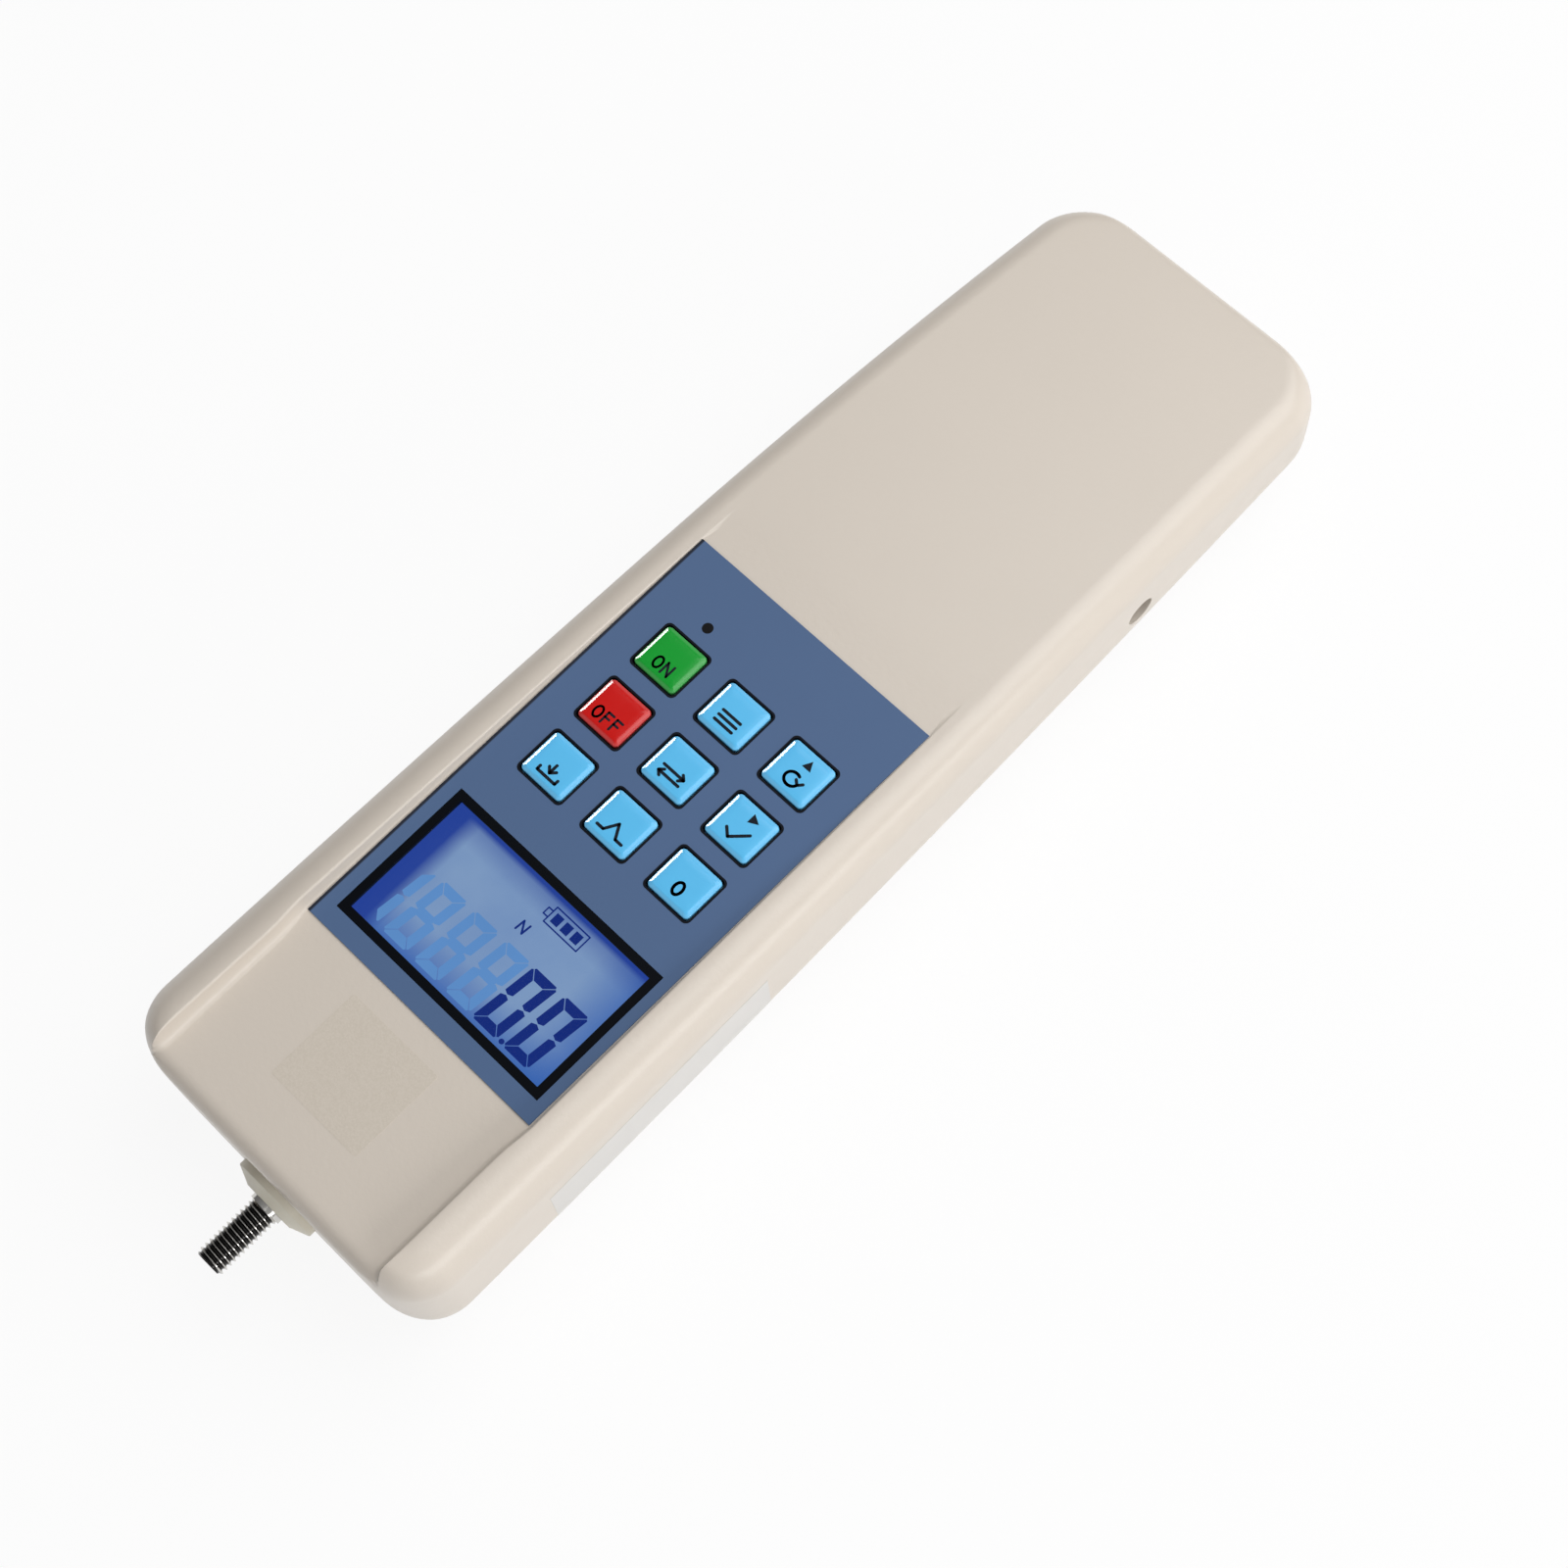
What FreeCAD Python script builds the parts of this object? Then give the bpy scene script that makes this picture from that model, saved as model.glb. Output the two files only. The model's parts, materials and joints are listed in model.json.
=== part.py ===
import FreeCAD, Part
import math
import os
from FreeCAD import Vector

# Handheld digital push and pull force gauge, in millimetres.
# It is drawn with y measured from the near end, where the measuring shaft comes out, and z from the
# flat back. Each piece is moved at the end so that the origin is the centre of the stand mount.
# +X is to the right of the reader, +Y runs away from the shaft and +Z comes out of the display.

# Housing outline, seen from the front
BODY_LENGTH = 232.0
HALF_WIDTH_NEAR = 37.2
HALF_WIDTH_MIDDLE = 35.6
HALF_WIDTH_FAR = 32.1
CORNER_RADIUS = 10.5

# Housing section
WIDEST_HEIGHT = 27.6
SIDE_LEAN_DEG = 4.5
FLOOR_HEIGHT = 32.5
RAIL_CREST_NEAR = 36.0
RAIL_LENGTH = 140.0
FAR_TOP_HEIGHT = 25.8
RAIL_RADIUS_NEAR = 8.2
RAIL_RADIUS_FAR = 5.6
BACK_EDGE_RADIUS = 13.0
NEAR_TOP_ROUNDING = 4.5
FAR_TOP_ROUNDING = 2.0
NEAR_BACK_ROUNDING = 6.0
FAR_BACK_ROUNDING = 10.0
BACK_TRIM = 0.05
WALL = 2.5
MIN_FLAT_WALL = 1.0

# Channel between the two rails
CHANNEL_HALF_WIDTH = 28.0
FLOOR_NEAR_ROUNDING = 3.0
RAIL_NOSE_RADIUS = 3.5

# Joint between the front cover and the back housing
PARTING_BELOW_FLOOR = 4.9
LIP_HEIGHT = 1.5
LIP_THICKNESS = 1.2
LIP_CLEARANCE = 0.1

# Screws that close the housing: distance from the middle, distance from the near end
SHELL_SCREW_X = 24.0
SHELL_SCREW_NEAR = 33.5
SHELL_SCREW_MIDDLE = 138.0
FAR_SCREW_X = 20.0
FAR_SCREW_FROM_END = 26.0
BOSS_RADIUS = 3.5
BOSS_JOINT_HEIGHT = 18.0
SCREW_SEAT_HEIGHT = 8.0
SHELL_SCREW_RADIUS = 1.5
SHELL_SCREW_HEAD_RADIUS = 2.75
SHELL_SCREW_HEAD_HEIGHT = 2.0
SHELL_SCREW_GRIP = 7.5
SCREW_CLEARANCE = 0.2
THREAD_CLEARANCE = 0.05
HEAD_CLEARANCE = 0.35
SOCKET_DEPTH_SHARE = 0.5

# Keypad panel
PANEL_HALF_WIDTH = 27.9
PANEL_NEAR = 36.5
PANEL_LENGTH = 95.1
PANEL_THICKNESS = 0.3

# Keys
KEY_COLUMN_MIDDLE = 0.6
KEY_COLUMN_PITCH = 15.8
KEY_ROW_NEAR = 84.0
KEY_ROW_PITCH = 13.65
KEY_WIDTH = 9.9
KEY_LENGTH = 9.1
KEY_GAP = 0.45
KEY_CORNER_RADIUS = 0.9
KEY_TOP_CHAMFER = 0.5
KEY_PROUD = 0.6
KEY_FLANGE_OVERLAP = 0.5
KEY_FLANGE_THICKNESS = 1.2
KEY_FLANGE_CLEARANCE = 0.1
KEY_NAMES = [
    ["save", "peak", "zero"],
    ["off", "unit", "check"],
    ["on", "set", "rotate"],
]

# Key switches on the main board
SWITCH_SIZE = 6.0
SWITCH_HEIGHT = 3.5
PLUNGER_RADIUS = 1.7
PLUNGER_DEPTH = 1.1
PLUNGER_CLEARANCE = 0.1
SWITCH_POCKET_DEPTH = 2.2

# Display
LCD_MIDDLE_X = 0.55
LCD_MIDDLE_Y = 55.05
BEZEL_WIDTH = 50.3
BEZEL_LENGTH = 29.3
BEZEL_BORDER = 1.6
BEZEL_HEIGHT = 1.6
BEZEL_FLANGE = 0.5
BEZEL_WALL = 0.8
BEZEL_SEAT_LEDGE = 0.4
PART_CLEARANCE = 0.1
WINDOW_THICKNESS = 1.0
LCD_GLASS_WIDTH = 52.0
LCD_GLASS_LENGTH = 31.0
LCD_GLASS_THICKNESS = 2.8
LCD_BACKLIGHT_THICKNESS = 3.0
LCD_FRAME_WALL = 1.0
LCD_FRAME_LIP = 0.5
LCD_FRAME_PROUD = 0.5
GASKET_BORDER = 0.8

# Main board
BOARD_HEIGHT = 20.4
BOARD_THICKNESS = 1.6
BOARD_HALF_WIDTH = 28.4
BOARD_NEAR = 38.2
BOARD_FAR = 132.0
BOARD_SCREW_X = 25.5
BOARD_SCREW_ROWS = [76.0, 128.0]
BOARD_POST_RADIUS = 2.6
BOARD_SCREW_RADIUS = 1.1
BOARD_SCREW_HEAD_RADIUS = 2.2
BOARD_SCREW_HEAD_HEIGHT = 1.5
BOARD_SCREW_GRIP = 6.0

# Power lamp above the first key
LED_X = -14.8
LED_Y = 120.0
LED_WINDOW_RADIUS = 1.05
LED_RADIUS = 1.5
LED_LENGTH = 5.2
LED_LEAD_SPACING = 1.27
LED_LEAD_RADIUS = 0.25
LED_CLEARANCE = 0.15

# Parts on the underside of the main board: x, y, width, length, height
CHIPS = [(-4.0, 62.0, 12.0, 12.0, 1.6), (12.0, 60.0, 8.0, 7.0, 1.5), (-14.0, 84.0, 8.0, 5.0, 1.5)]
CONNECTORS = [(-16.0, 44.0, 10.0, 6.0, 6.0), (4.0, 124.0, 7.5, 6.0, 6.0), (16.0, 124.0, 7.5, 6.0, 6.0)]
CAPACITORS = [(8.0, 84.0), (16.0, 84.0), (-16.0, 100.0)]
CONNECTOR_WALL = 1.0
CAPACITOR_RADIUS = 3.15
CAPACITOR_HEIGHT = 7.0
BUZZER_X = 6.0
BUZZER_Y = 104.0
BUZZER_RADIUS = 6.0
BUZZER_HEIGHT = 5.5
BUZZER_HOLE_RADIUS = 1.0

# Measuring shaft
SHAFT_HEIGHT = 16.1
SHAFT_TIP = 16.7
THREAD_RADIUS = 2.95
THREAD_START = 3.7
TIP_CHAMFER = 0.6
SHOULDER_RADIUS = 3.3
GUIDE_RADIUS = 4.0
GUIDE_START = 1.5
GUIDE_END = 9.6
SHAFT_GRIP = 10.0
RUNNING_CLEARANCE = 0.05
NUT_ACROSS_FLATS = 10.0
NUT_THICKNESS = 3.2
HEX_HALF_ANGLE_DEG = 30.0
NUT_CHAMFER = 0.4

# Collar and guide bush round the shaft
COLLAR_RADIUS = 8.6
COLLAR_RIM = 1.3
COLLAR_LENGTH = 2.8
COLLAR_NOSE_RADIUS = 5.3
COLLAR_BORE_CLEARANCE = 0.4
COLLAR_SPIGOT_LENGTH = 0.9
BUSH_RADIUS = 5.5
BUSH_LENGTH = 7.0
BUSH_BOSS_RADIUS = 8.0

# Load cell, a double ended bending beam across the housing
BEAM_NEAR = 13.0
BEAM_DEPTH = 14.0
BEAM_SIDE_GAP = 6.6
BEAM_HEIGHT = 12.0
BEAM_CHAMFER = 0.5
FLEXURE_HOLE_SHARE = 0.185
FLEXURE_PLACE_SHARES = [0.426, 0.685]
BEAM_BOLT_FROM_END = 3.6
BEAM_BOLT_SPREAD = 7.0
BEAM_BOLT_RADIUS = 2.0
BEAM_BOLT_HEAD_RADIUS = 3.2
BEAM_BOLT_HEAD_HEIGHT = 4.0
BEAM_BOLT_GRIP = 4.2
BOLT_SOCKET_RADIUS = 1.7
GAUGE_FOIL_WIDTH = 4.0
GAUGE_FOIL_HEIGHT = 6.0
GAUGE_FOIL_THICKNESS = 0.15

# Chassis plate that carries the load cell and the stand mount
PLATE_HEIGHT = 4.0
PLATE_THICKNESS = 3.0
PLATE_HEAD_NEAR = 10.5
PLATE_HEAD_FAR = 29.2
PLATE_TAIL_HALF_WIDTH = 20.0
PLATE_FAR = 121.0
PLATE_CORNER_RADIUS = 4.0
PLATE_SIDE_BEVEL = 3.4
PAD_WIDTH = 7.0
PLATE_SCREW_PLACES = [(-12.0, 20.0), (12.0, 20.0), (0.0, 66.0), (0.0, 116.0)]
PLATE_SCREW_RADIUS = 1.5
PLATE_SCREW_HEAD_RADIUS = 2.8
PLATE_SCREW_HEAD_HEIGHT = 1.9
PLATE_BOSS_RADIUS = 4.5
PLATE_SCREW_SKIN = 1.0
LIGHTENING_WIDTH = 16.0
LIGHTENING_ROWS = [(38.0, 58.0), (74.0, 108.0)]

# Stand mount: four threaded standoffs reached through the back
STAND_MIDDLE = 80.0
STAND_SPACING_X = 30.0
STAND_SPACING_Y = 60.0
STAND_THREAD_RADIUS = 2.0
STANDOFF_RADIUS = 4.0
STANDOFF_SPIGOT_RADIUS = 3.0

# Battery
CELL_COUNT = 3
CELL_RADIUS = 7.1
CELL_LENGTH = 48.5
CELL_NUB_RADIUS = 2.7
CELL_NUB_LENGTH = 1.0
CELL_PITCH = 14.3
CELL_FROM_END = 87.5
CELL_ROW_MIDDLE = -2.9
CELL_HEIGHT = 10.8
CRADLE_FROM_CELL_ENDS = 7.5
CRADLE_THICKNESS = 1.6
CRADLE_HEIGHT = 8.5
CRADLE_MARGIN = 1.5
CLAMP_WIDTH = 10.0
CLAMP_THICKNESS = 1.2
CLAMP_POST_RADIUS = 3.0
CLAMP_POST_LEFT = -27.4
CLAMP_POST_RIGHT = 22.2
CLAMP_SCREW_RADIUS = 1.1
CLAMP_SCREW_HEAD_RADIUS = 2.2
CLAMP_SCREW_HEAD_HEIGHT = 1.5
CLAMP_SCREW_GRIP = 7.0

# Charging socket in the right wall
SOCKET_FROM_END = 53.0
SOCKET_HEIGHT = 15.6
SOCKET_HOLE_RADIUS = 3.0
SOCKET_BODY_WIDTH = 9.0
SOCKET_BODY_HEIGHT = 8.4
SOCKET_BODY_LENGTH = 10.2
SOCKET_FRONT = 28.9
SOCKET_BORE_RADIUS = 2.8
SOCKET_BORE_DEPTH = 8.8
SOCKET_PIN_RADIUS = 1.0
SOCKET_PIN_SHORT = 1.0

# Stations that describe the rounded ends and the long middle of the housing
END_STEPS = 6
RAIL_STATION_SHARES = [0.35, 0.68, 1.0]
FAR_STATION_SHARES = [0.33, 0.67]
REACH = 60.0

# Sizes worked out from the ones above
PANEL_TOP = FLOOR_HEIGHT + PANEL_THICKNESS
COVER_INSIDE = FLOOR_HEIGHT - WALL
BOARD_TOP = BOARD_HEIGHT + BOARD_THICKNESS
KEY_TOP = PANEL_TOP + KEY_PROUD
KEY_FLANGE_TOP = COVER_INSIDE - KEY_FLANGE_CLEARANCE
KEY_BOTTOM = KEY_FLANGE_TOP - KEY_FLANGE_THICKNESS
BEZEL_SEAT = PANEL_TOP - BEZEL_HEIGHT
GLASS_TOP = BOARD_TOP + LCD_BACKLIGHT_THICKNESS + LCD_GLASS_THICKNESS
FRAME_TOP = GLASS_TOP + LCD_FRAME_PROUD
BEAM_FAR = BEAM_NEAR + BEAM_DEPTH
BEAM_BOTTOM = SHAFT_HEIGHT - BEAM_HEIGHT / 2
BEAM_TOP = SHAFT_HEIGHT + BEAM_HEIGHT / 2
BEAM_MIDDLE = BEAM_NEAR + BEAM_DEPTH / 2
PLATE_TOP = PLATE_HEIGHT + PLATE_THICKNESS
CELL_TOP = CELL_HEIGHT + CELL_RADIUS
SIDE_LEAN = math.radians(SIDE_LEAN_DEG)
SHELL_SCREW_PLACES = [
    (SHELL_SCREW_X, SHELL_SCREW_NEAR), (SHELL_SCREW_X, SHELL_SCREW_MIDDLE),
    (FAR_SCREW_X, BODY_LENGTH - FAR_SCREW_FROM_END),
]
CELL_NEAR = BODY_LENGTH - CELL_FROM_END
CELL_FAR = CELL_NEAR + CELL_LENGTH
CRADLE_ROWS = [CELL_NEAR + CRADLE_FROM_CELL_ENDS, CELL_FAR - CRADLE_FROM_CELL_ENDS]
CLAMP_Y = CELL_NEAR + CELL_LENGTH / 2
SOCKET_Y = BODY_LENGTH - SOCKET_FROM_END
BEAM_HALF_LENGTH = HALF_WIDTH_NEAR - BEAM_SIDE_GAP
BEAM_BOLT_X = BEAM_HALF_LENGTH - BEAM_BOLT_FROM_END
FLEXURE_HOLE_RADIUS = BEAM_BOLT_X * FLEXURE_HOLE_SHARE
FLEXURE_HOLE_PLACES = [BEAM_BOLT_X * share for share in FLEXURE_PLACE_SHARES]
NUT_ACROSS_CORNERS = NUT_ACROSS_FLATS / math.cos(math.radians(HEX_HALF_ANGLE_DEG))
FULL_TURN = 360.0


def box(x0, x1, y0, y1, z0, z1):
    """A block between two corners."""
    return Part.makeBox(x1 - x0, y1 - y0, z1 - z0, Vector(x0, y0, z0))


def block(x, y, width, length, z0, z1):
    """A block centred on x and y."""
    return box(x - width / 2, x + width / 2, y - length / 2, y + length / 2, z0, z1)


def post(radius, x, y, z0, z1):
    """An upright cylinder."""
    return Part.makeCylinder(radius, z1 - z0, Vector(x, y, z0))


def rod(radius, x, z, y0, y1):
    """A cylinder that lies along the housing."""
    return Part.makeCylinder(radius, y1 - y0, Vector(x, y0, z), Vector(0, 1, 0))


def cross_rod(radius, y, z, x0, x1):
    """A cylinder that lies across the housing."""
    return Part.makeCylinder(radius, x1 - x0, Vector(x0, y, z), Vector(1, 0, 0))


def fuse_all(first, others):
    """One solid from a first solid and the ones that grow out of it."""
    joined = first
    for other in others:
        joined = joined.fuse(other)
    return joined.removeSplitter()


def cut_all(shape, tools):
    """A shape with every tool taken out of it."""
    for tool in tools:
        shape = shape.cut(tool)
    return shape


def mirrored(places):
    """The same places to the right and to the left of the middle."""
    return [(side * x, y) for x, y in places for side in (1, -1)]


def rounded_slab(width, length, x, y, z0, z1, radius):
    """A slab with rounded corners in plan, centred on x and y."""
    slab = box(x - width / 2, x + width / 2, y - length / 2, y + length / 2, z0, z1)
    upright = [e for e in slab.Edges if abs(e.Vertexes[0].Z - e.Vertexes[-1].Z) > 0.5 * (z1 - z0)]
    return slab.makeFillet(radius, upright)


# Housing form


def half_width(y):
    """Half the housing's width at its widest height: a gentle curve through three widths."""
    u = y / BODY_LENGTH
    near = HALF_WIDTH_NEAR * (1 - u) * (1 - 2 * u)
    middle = 4 * HALF_WIDTH_MIDDLE * u * (1 - u)
    far = HALF_WIDTH_FAR * u * (2 * u - 1)
    return near + middle + far


def top_height(y, crest):
    """Height of the top: it slopes along the rails, then bends down towards the far end."""
    slope = (crest - FLOOR_HEIGHT) / RAIL_LENGTH
    beyond = y - RAIL_LENGTH
    if beyond <= 0:
        return FLOOR_HEIGHT - slope * beyond
    run = BODY_LENGTH - RAIL_LENGTH
    bend = (FLOOR_HEIGHT - FAR_TOP_HEIGHT - slope * run) / run ** 2
    return FLOOR_HEIGHT - slope * beyond - bend * beyond ** 2


def rounding(radius, distance):
    """How far a rounded end has drawn in at a distance from the end."""
    if distance >= radius:
        return 0.0
    return radius - math.sqrt(radius ** 2 - (radius - distance) ** 2)


def rail_radius(y):
    """Radius of the rounding along the top of each side."""
    share = min(1.0, y / RAIL_LENGTH)
    return RAIL_RADIUS_NEAR + (RAIL_RADIUS_FAR - RAIL_RADIUS_NEAR) * share


def section(y, inset, crest):
    """The closed outline of the housing across its length, drawn in by an inset."""
    from_near = y - inset
    from_far = BODY_LENGTH - inset - y
    near_end = from_near < from_far
    end = min(from_near, from_far)
    top_rounding = NEAR_TOP_ROUNDING if near_end else FAR_TOP_ROUNDING
    back_rounding = NEAR_BACK_ROUNDING if near_end else FAR_BACK_ROUNDING
    width = half_width(y) - inset - rounding(CORNER_RADIUS - inset, end)
    top = top_height(y, crest) - inset - rounding(top_rounding, end)
    back = inset - BACK_TRIM + rounding(back_rounding, end)
    top_radius = rail_radius(y) - inset
    back_radius = min(BACK_EDGE_RADIUS - inset, top - back - top_radius - MIN_FLAT_WALL)
    outward = Vector(math.cos(SIDE_LEAN), 0, -math.sin(SIDE_LEAN))

    def arc_centre(z, radius):
        touch = z + radius * outward.z
        wall = width - (WIDEST_HEIGHT - touch) * math.tan(SIDE_LEAN)
        return Vector(wall - radius * outward.x, y, z)

    def on_arc(centre, radius, angle):
        return centre + Vector(radius * math.cos(angle), 0, radius * math.sin(angle))

    low = arc_centre(back + back_radius, back_radius)
    high = arc_centre(top - top_radius, top_radius)
    low_angles = (-math.pi / 2, -(math.pi / 2 + SIDE_LEAN) / 2, -SIDE_LEAN)
    high_angles = (-SIDE_LEAN, (math.pi / 2 - SIDE_LEAN) / 2, math.pi / 2)
    right = [on_arc(low, back_radius, a) for a in low_angles]
    right += [on_arc(high, top_radius, a) for a in high_angles]
    left = [Vector(-p.x, p.y, p.z) for p in reversed(right)]
    return Part.Wire([
        Part.makeLine(left[5], right[0]),
        Part.Arc(right[0], right[1], right[2]).toShape(),
        Part.makeLine(right[2], right[3]),
        Part.Arc(right[3], right[4], right[5]).toShape(),
        Part.makeLine(right[5], left[0]),
        Part.Arc(left[0], left[1], left[2]).toShape(),
        Part.makeLine(left[2], left[3]),
        Part.Arc(left[3], left[4], left[5]).toShape(),
    ])


def end_distances(inset):
    """Distances from an end at which its rounding is described."""
    radius = CORNER_RADIUS - inset
    return [radius * (1 - math.cos(math.pi / 2 * step / END_STEPS)) for step in range(END_STEPS + 1)]


def housing_form(inset, crest):
    """The closed form of the housing, drawn in by an inset on every side."""
    near = [inset + d for d in end_distances(inset)]
    far = [BODY_LENGTH - inset - d for d in reversed(end_distances(inset))]
    along_rails = [RAIL_LENGTH * share for share in RAIL_STATION_SHARES]
    beyond_rails = [RAIL_LENGTH + (far[0] - RAIL_LENGTH) * share for share in FAR_STATION_SHARES]
    stations = near + along_rails + beyond_rails + far
    return Part.makeLoft([section(y, inset, crest) for y in stations], True, True)


def outer_form():
    """The outside of the housing, with its back planed flat."""
    room = box(-REACH, REACH, -REACH, BODY_LENGTH + REACH, 0, REACH)
    return housing_form(0.0, RAIL_CREST_NEAR).common(room)


def lengthwise_prism(upper_edge):
    """Everything below an edge that runs along the housing."""
    start = upper_edge[0].Vertexes[0].Point
    end = upper_edge[-1].Vertexes[-1].Point
    deep_end = Vector(end.x, end.y, -REACH)
    deep_start = Vector(start.x, start.y, -REACH)
    outline = Part.makePolygon([end, deep_end, deep_start, start])
    return Part.Face(Part.Wire(upper_edge + outline.Edges)).extrude(Vector(2 * REACH, 0, 0))


def below_parting(raise_by=0.0):
    """Everything below the joint of the two shells, which keeps an even distance under the top."""
    def on_joint(y):
        return Vector(-REACH, y, top_height(y, FLOOR_HEIGHT) - PARTING_BELOW_FLOOR + raise_by)

    bend = on_joint(RAIL_LENGTH)
    end = on_joint(BODY_LENGTH + REACH)
    middle = on_joint((RAIL_LENGTH + BODY_LENGTH + REACH) / 2)
    return lengthwise_prism([Part.makeLine(on_joint(-REACH), bend), Part.Arc(bend, middle, end).toShape()])


def channel_cutter():
    """The space over the floor between the rails, with the floor's rounded near edge."""
    bend = Vector(-REACH, FLOOR_NEAR_ROUNDING, FLOOR_HEIGHT)
    drop = FLOOR_HEIGHT - FLOOR_NEAR_ROUNDING
    half = FLOOR_NEAR_ROUNDING * math.sqrt(0.5)
    low = Vector(-REACH, 0, drop)
    mid = Vector(-REACH, FLOOR_NEAR_ROUNDING - half, drop + half)
    floor = lengthwise_prism([
        Part.makeLine(Vector(-REACH, -REACH, drop), low),
        Part.Arc(low, mid, bend).toShape(),
        Part.makeLine(bend, Vector(-REACH, RAIL_LENGTH, FLOOR_HEIGHT)),
    ])
    return channel_plan().extrude(Vector(0, 0, REACH)).cut(floor)


def channel_plan():
    """The channel seen from the front: straight sides that round outwards at the near ends of the rails."""
    wide = CHANNEL_HALF_WIDTH + RAIL_NOSE_RADIUS
    turn = RAIL_NOSE_RADIUS * (1 - math.sqrt(0.5))
    points = [
        Vector(CHANNEL_HALF_WIDTH, RAIL_LENGTH, 0), Vector(CHANNEL_HALF_WIDTH, RAIL_NOSE_RADIUS, 0),
        Vector(CHANNEL_HALF_WIDTH + turn, turn, 0), Vector(wide, 0, 0), Vector(wide, -REACH, 0),
    ]
    left = [Vector(-p.x, p.y, 0) for p in points]
    return Part.Face(Part.Wire([
        Part.makeLine(left[0], points[0]),
        Part.makeLine(points[0], points[1]),
        Part.Arc(points[1], points[2], points[3]).toShape(),
        Part.makeLine(points[3], points[4]),
        Part.makeLine(points[4], left[4]),
        Part.makeLine(left[4], left[3]),
        Part.Arc(left[3], left[2], left[1]).toShape(),
        Part.makeLine(left[1], left[0]),
    ]))


def cover_openings():
    """Holes through the front cover for the display, the keys and the lamp."""
    foot = COVER_INSIDE - WALL
    ledge = 2 * BEZEL_SEAT_LEDGE
    play = 2 * PART_CLEARANCE
    view = display_slab(BEZEL_WIDTH - ledge, BEZEL_LENGTH - ledge, foot, PANEL_TOP)
    seat = display_slab(BEZEL_WIDTH + play, BEZEL_LENGTH + play, BEZEL_SEAT, PANEL_TOP)
    keys = [key_opening(x, y, foot, PANEL_TOP) for _, x, y in key_places()]
    lamp = post(LED_RADIUS + LED_CLEARANCE, LED_X, LED_Y, foot, PANEL_TOP)
    return [view, seat, lamp] + keys


def display_slab(width, length, z0, z1):
    """A slab centred on the display."""
    return box(
        LCD_MIDDLE_X - width / 2, LCD_MIDDLE_X + width / 2,
        LCD_MIDDLE_Y - length / 2, LCD_MIDDLE_Y + length / 2, z0, z1,
    )


def key_places():
    """Name and middle of each key."""
    places = []
    for row, names in enumerate(KEY_NAMES):
        for column, name in enumerate(names):
            x = KEY_COLUMN_MIDDLE + (column - 1) * KEY_COLUMN_PITCH
            places.append((name, x, KEY_ROW_NEAR + row * KEY_ROW_PITCH))
    return places


def key_opening(x, y, z0, z1):
    """The opening that a key moves in."""
    return rounded_slab(KEY_WIDTH + 2 * KEY_GAP, KEY_LENGTH + 2 * KEY_GAP, x, y, z0, z1, KEY_CORNER_RADIUS)


# Shells


def front_cover(outer, cavity):
    """The shallow front shell with its channel, openings, screw bosses and board posts."""
    shell = outer.cut(below_parting()).cut(cavity).cut(channel_cutter())
    inner_lip = housing_form(WALL - LIP_THICKNESS - LIP_CLEARANCE, RAIL_CREST_NEAR)
    shell = shell.cut(inner_lip.common(below_parting(LIP_HEIGHT + LIP_CLEARANCE)))
    bosses = []
    pilots = []
    for x, y in mirrored(SHELL_SCREW_PLACES):
        roof = min(COVER_INSIDE, top_height(y, FLOOR_HEIGHT) - WALL)
        bosses.append(post(BOSS_RADIUS, x, y, BOSS_JOINT_HEIGHT, roof + WALL / 2))
        tip = BOSS_JOINT_HEIGHT + SHELL_SCREW_GRIP + THREAD_CLEARANCE
        pilots.append(post(SHELL_SCREW_RADIUS + THREAD_CLEARANCE, x, y, BOSS_JOINT_HEIGHT, tip))
    for x, y in mirrored([(BOARD_SCREW_X, row) for row in BOARD_SCREW_ROWS]):
        bosses.append(post(BOARD_POST_RADIUS, x, y, BOARD_TOP, COVER_INSIDE + WALL / 2))
        tip = BOARD_TOP + BOARD_SCREW_GRIP + THREAD_CLEARANCE
        pilots.append(post(BOARD_SCREW_RADIUS + THREAD_CLEARANCE, x, y, BOARD_TOP, tip))
    return cut_all(fuse_all(shell, bosses), pilots + cover_openings())


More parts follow.
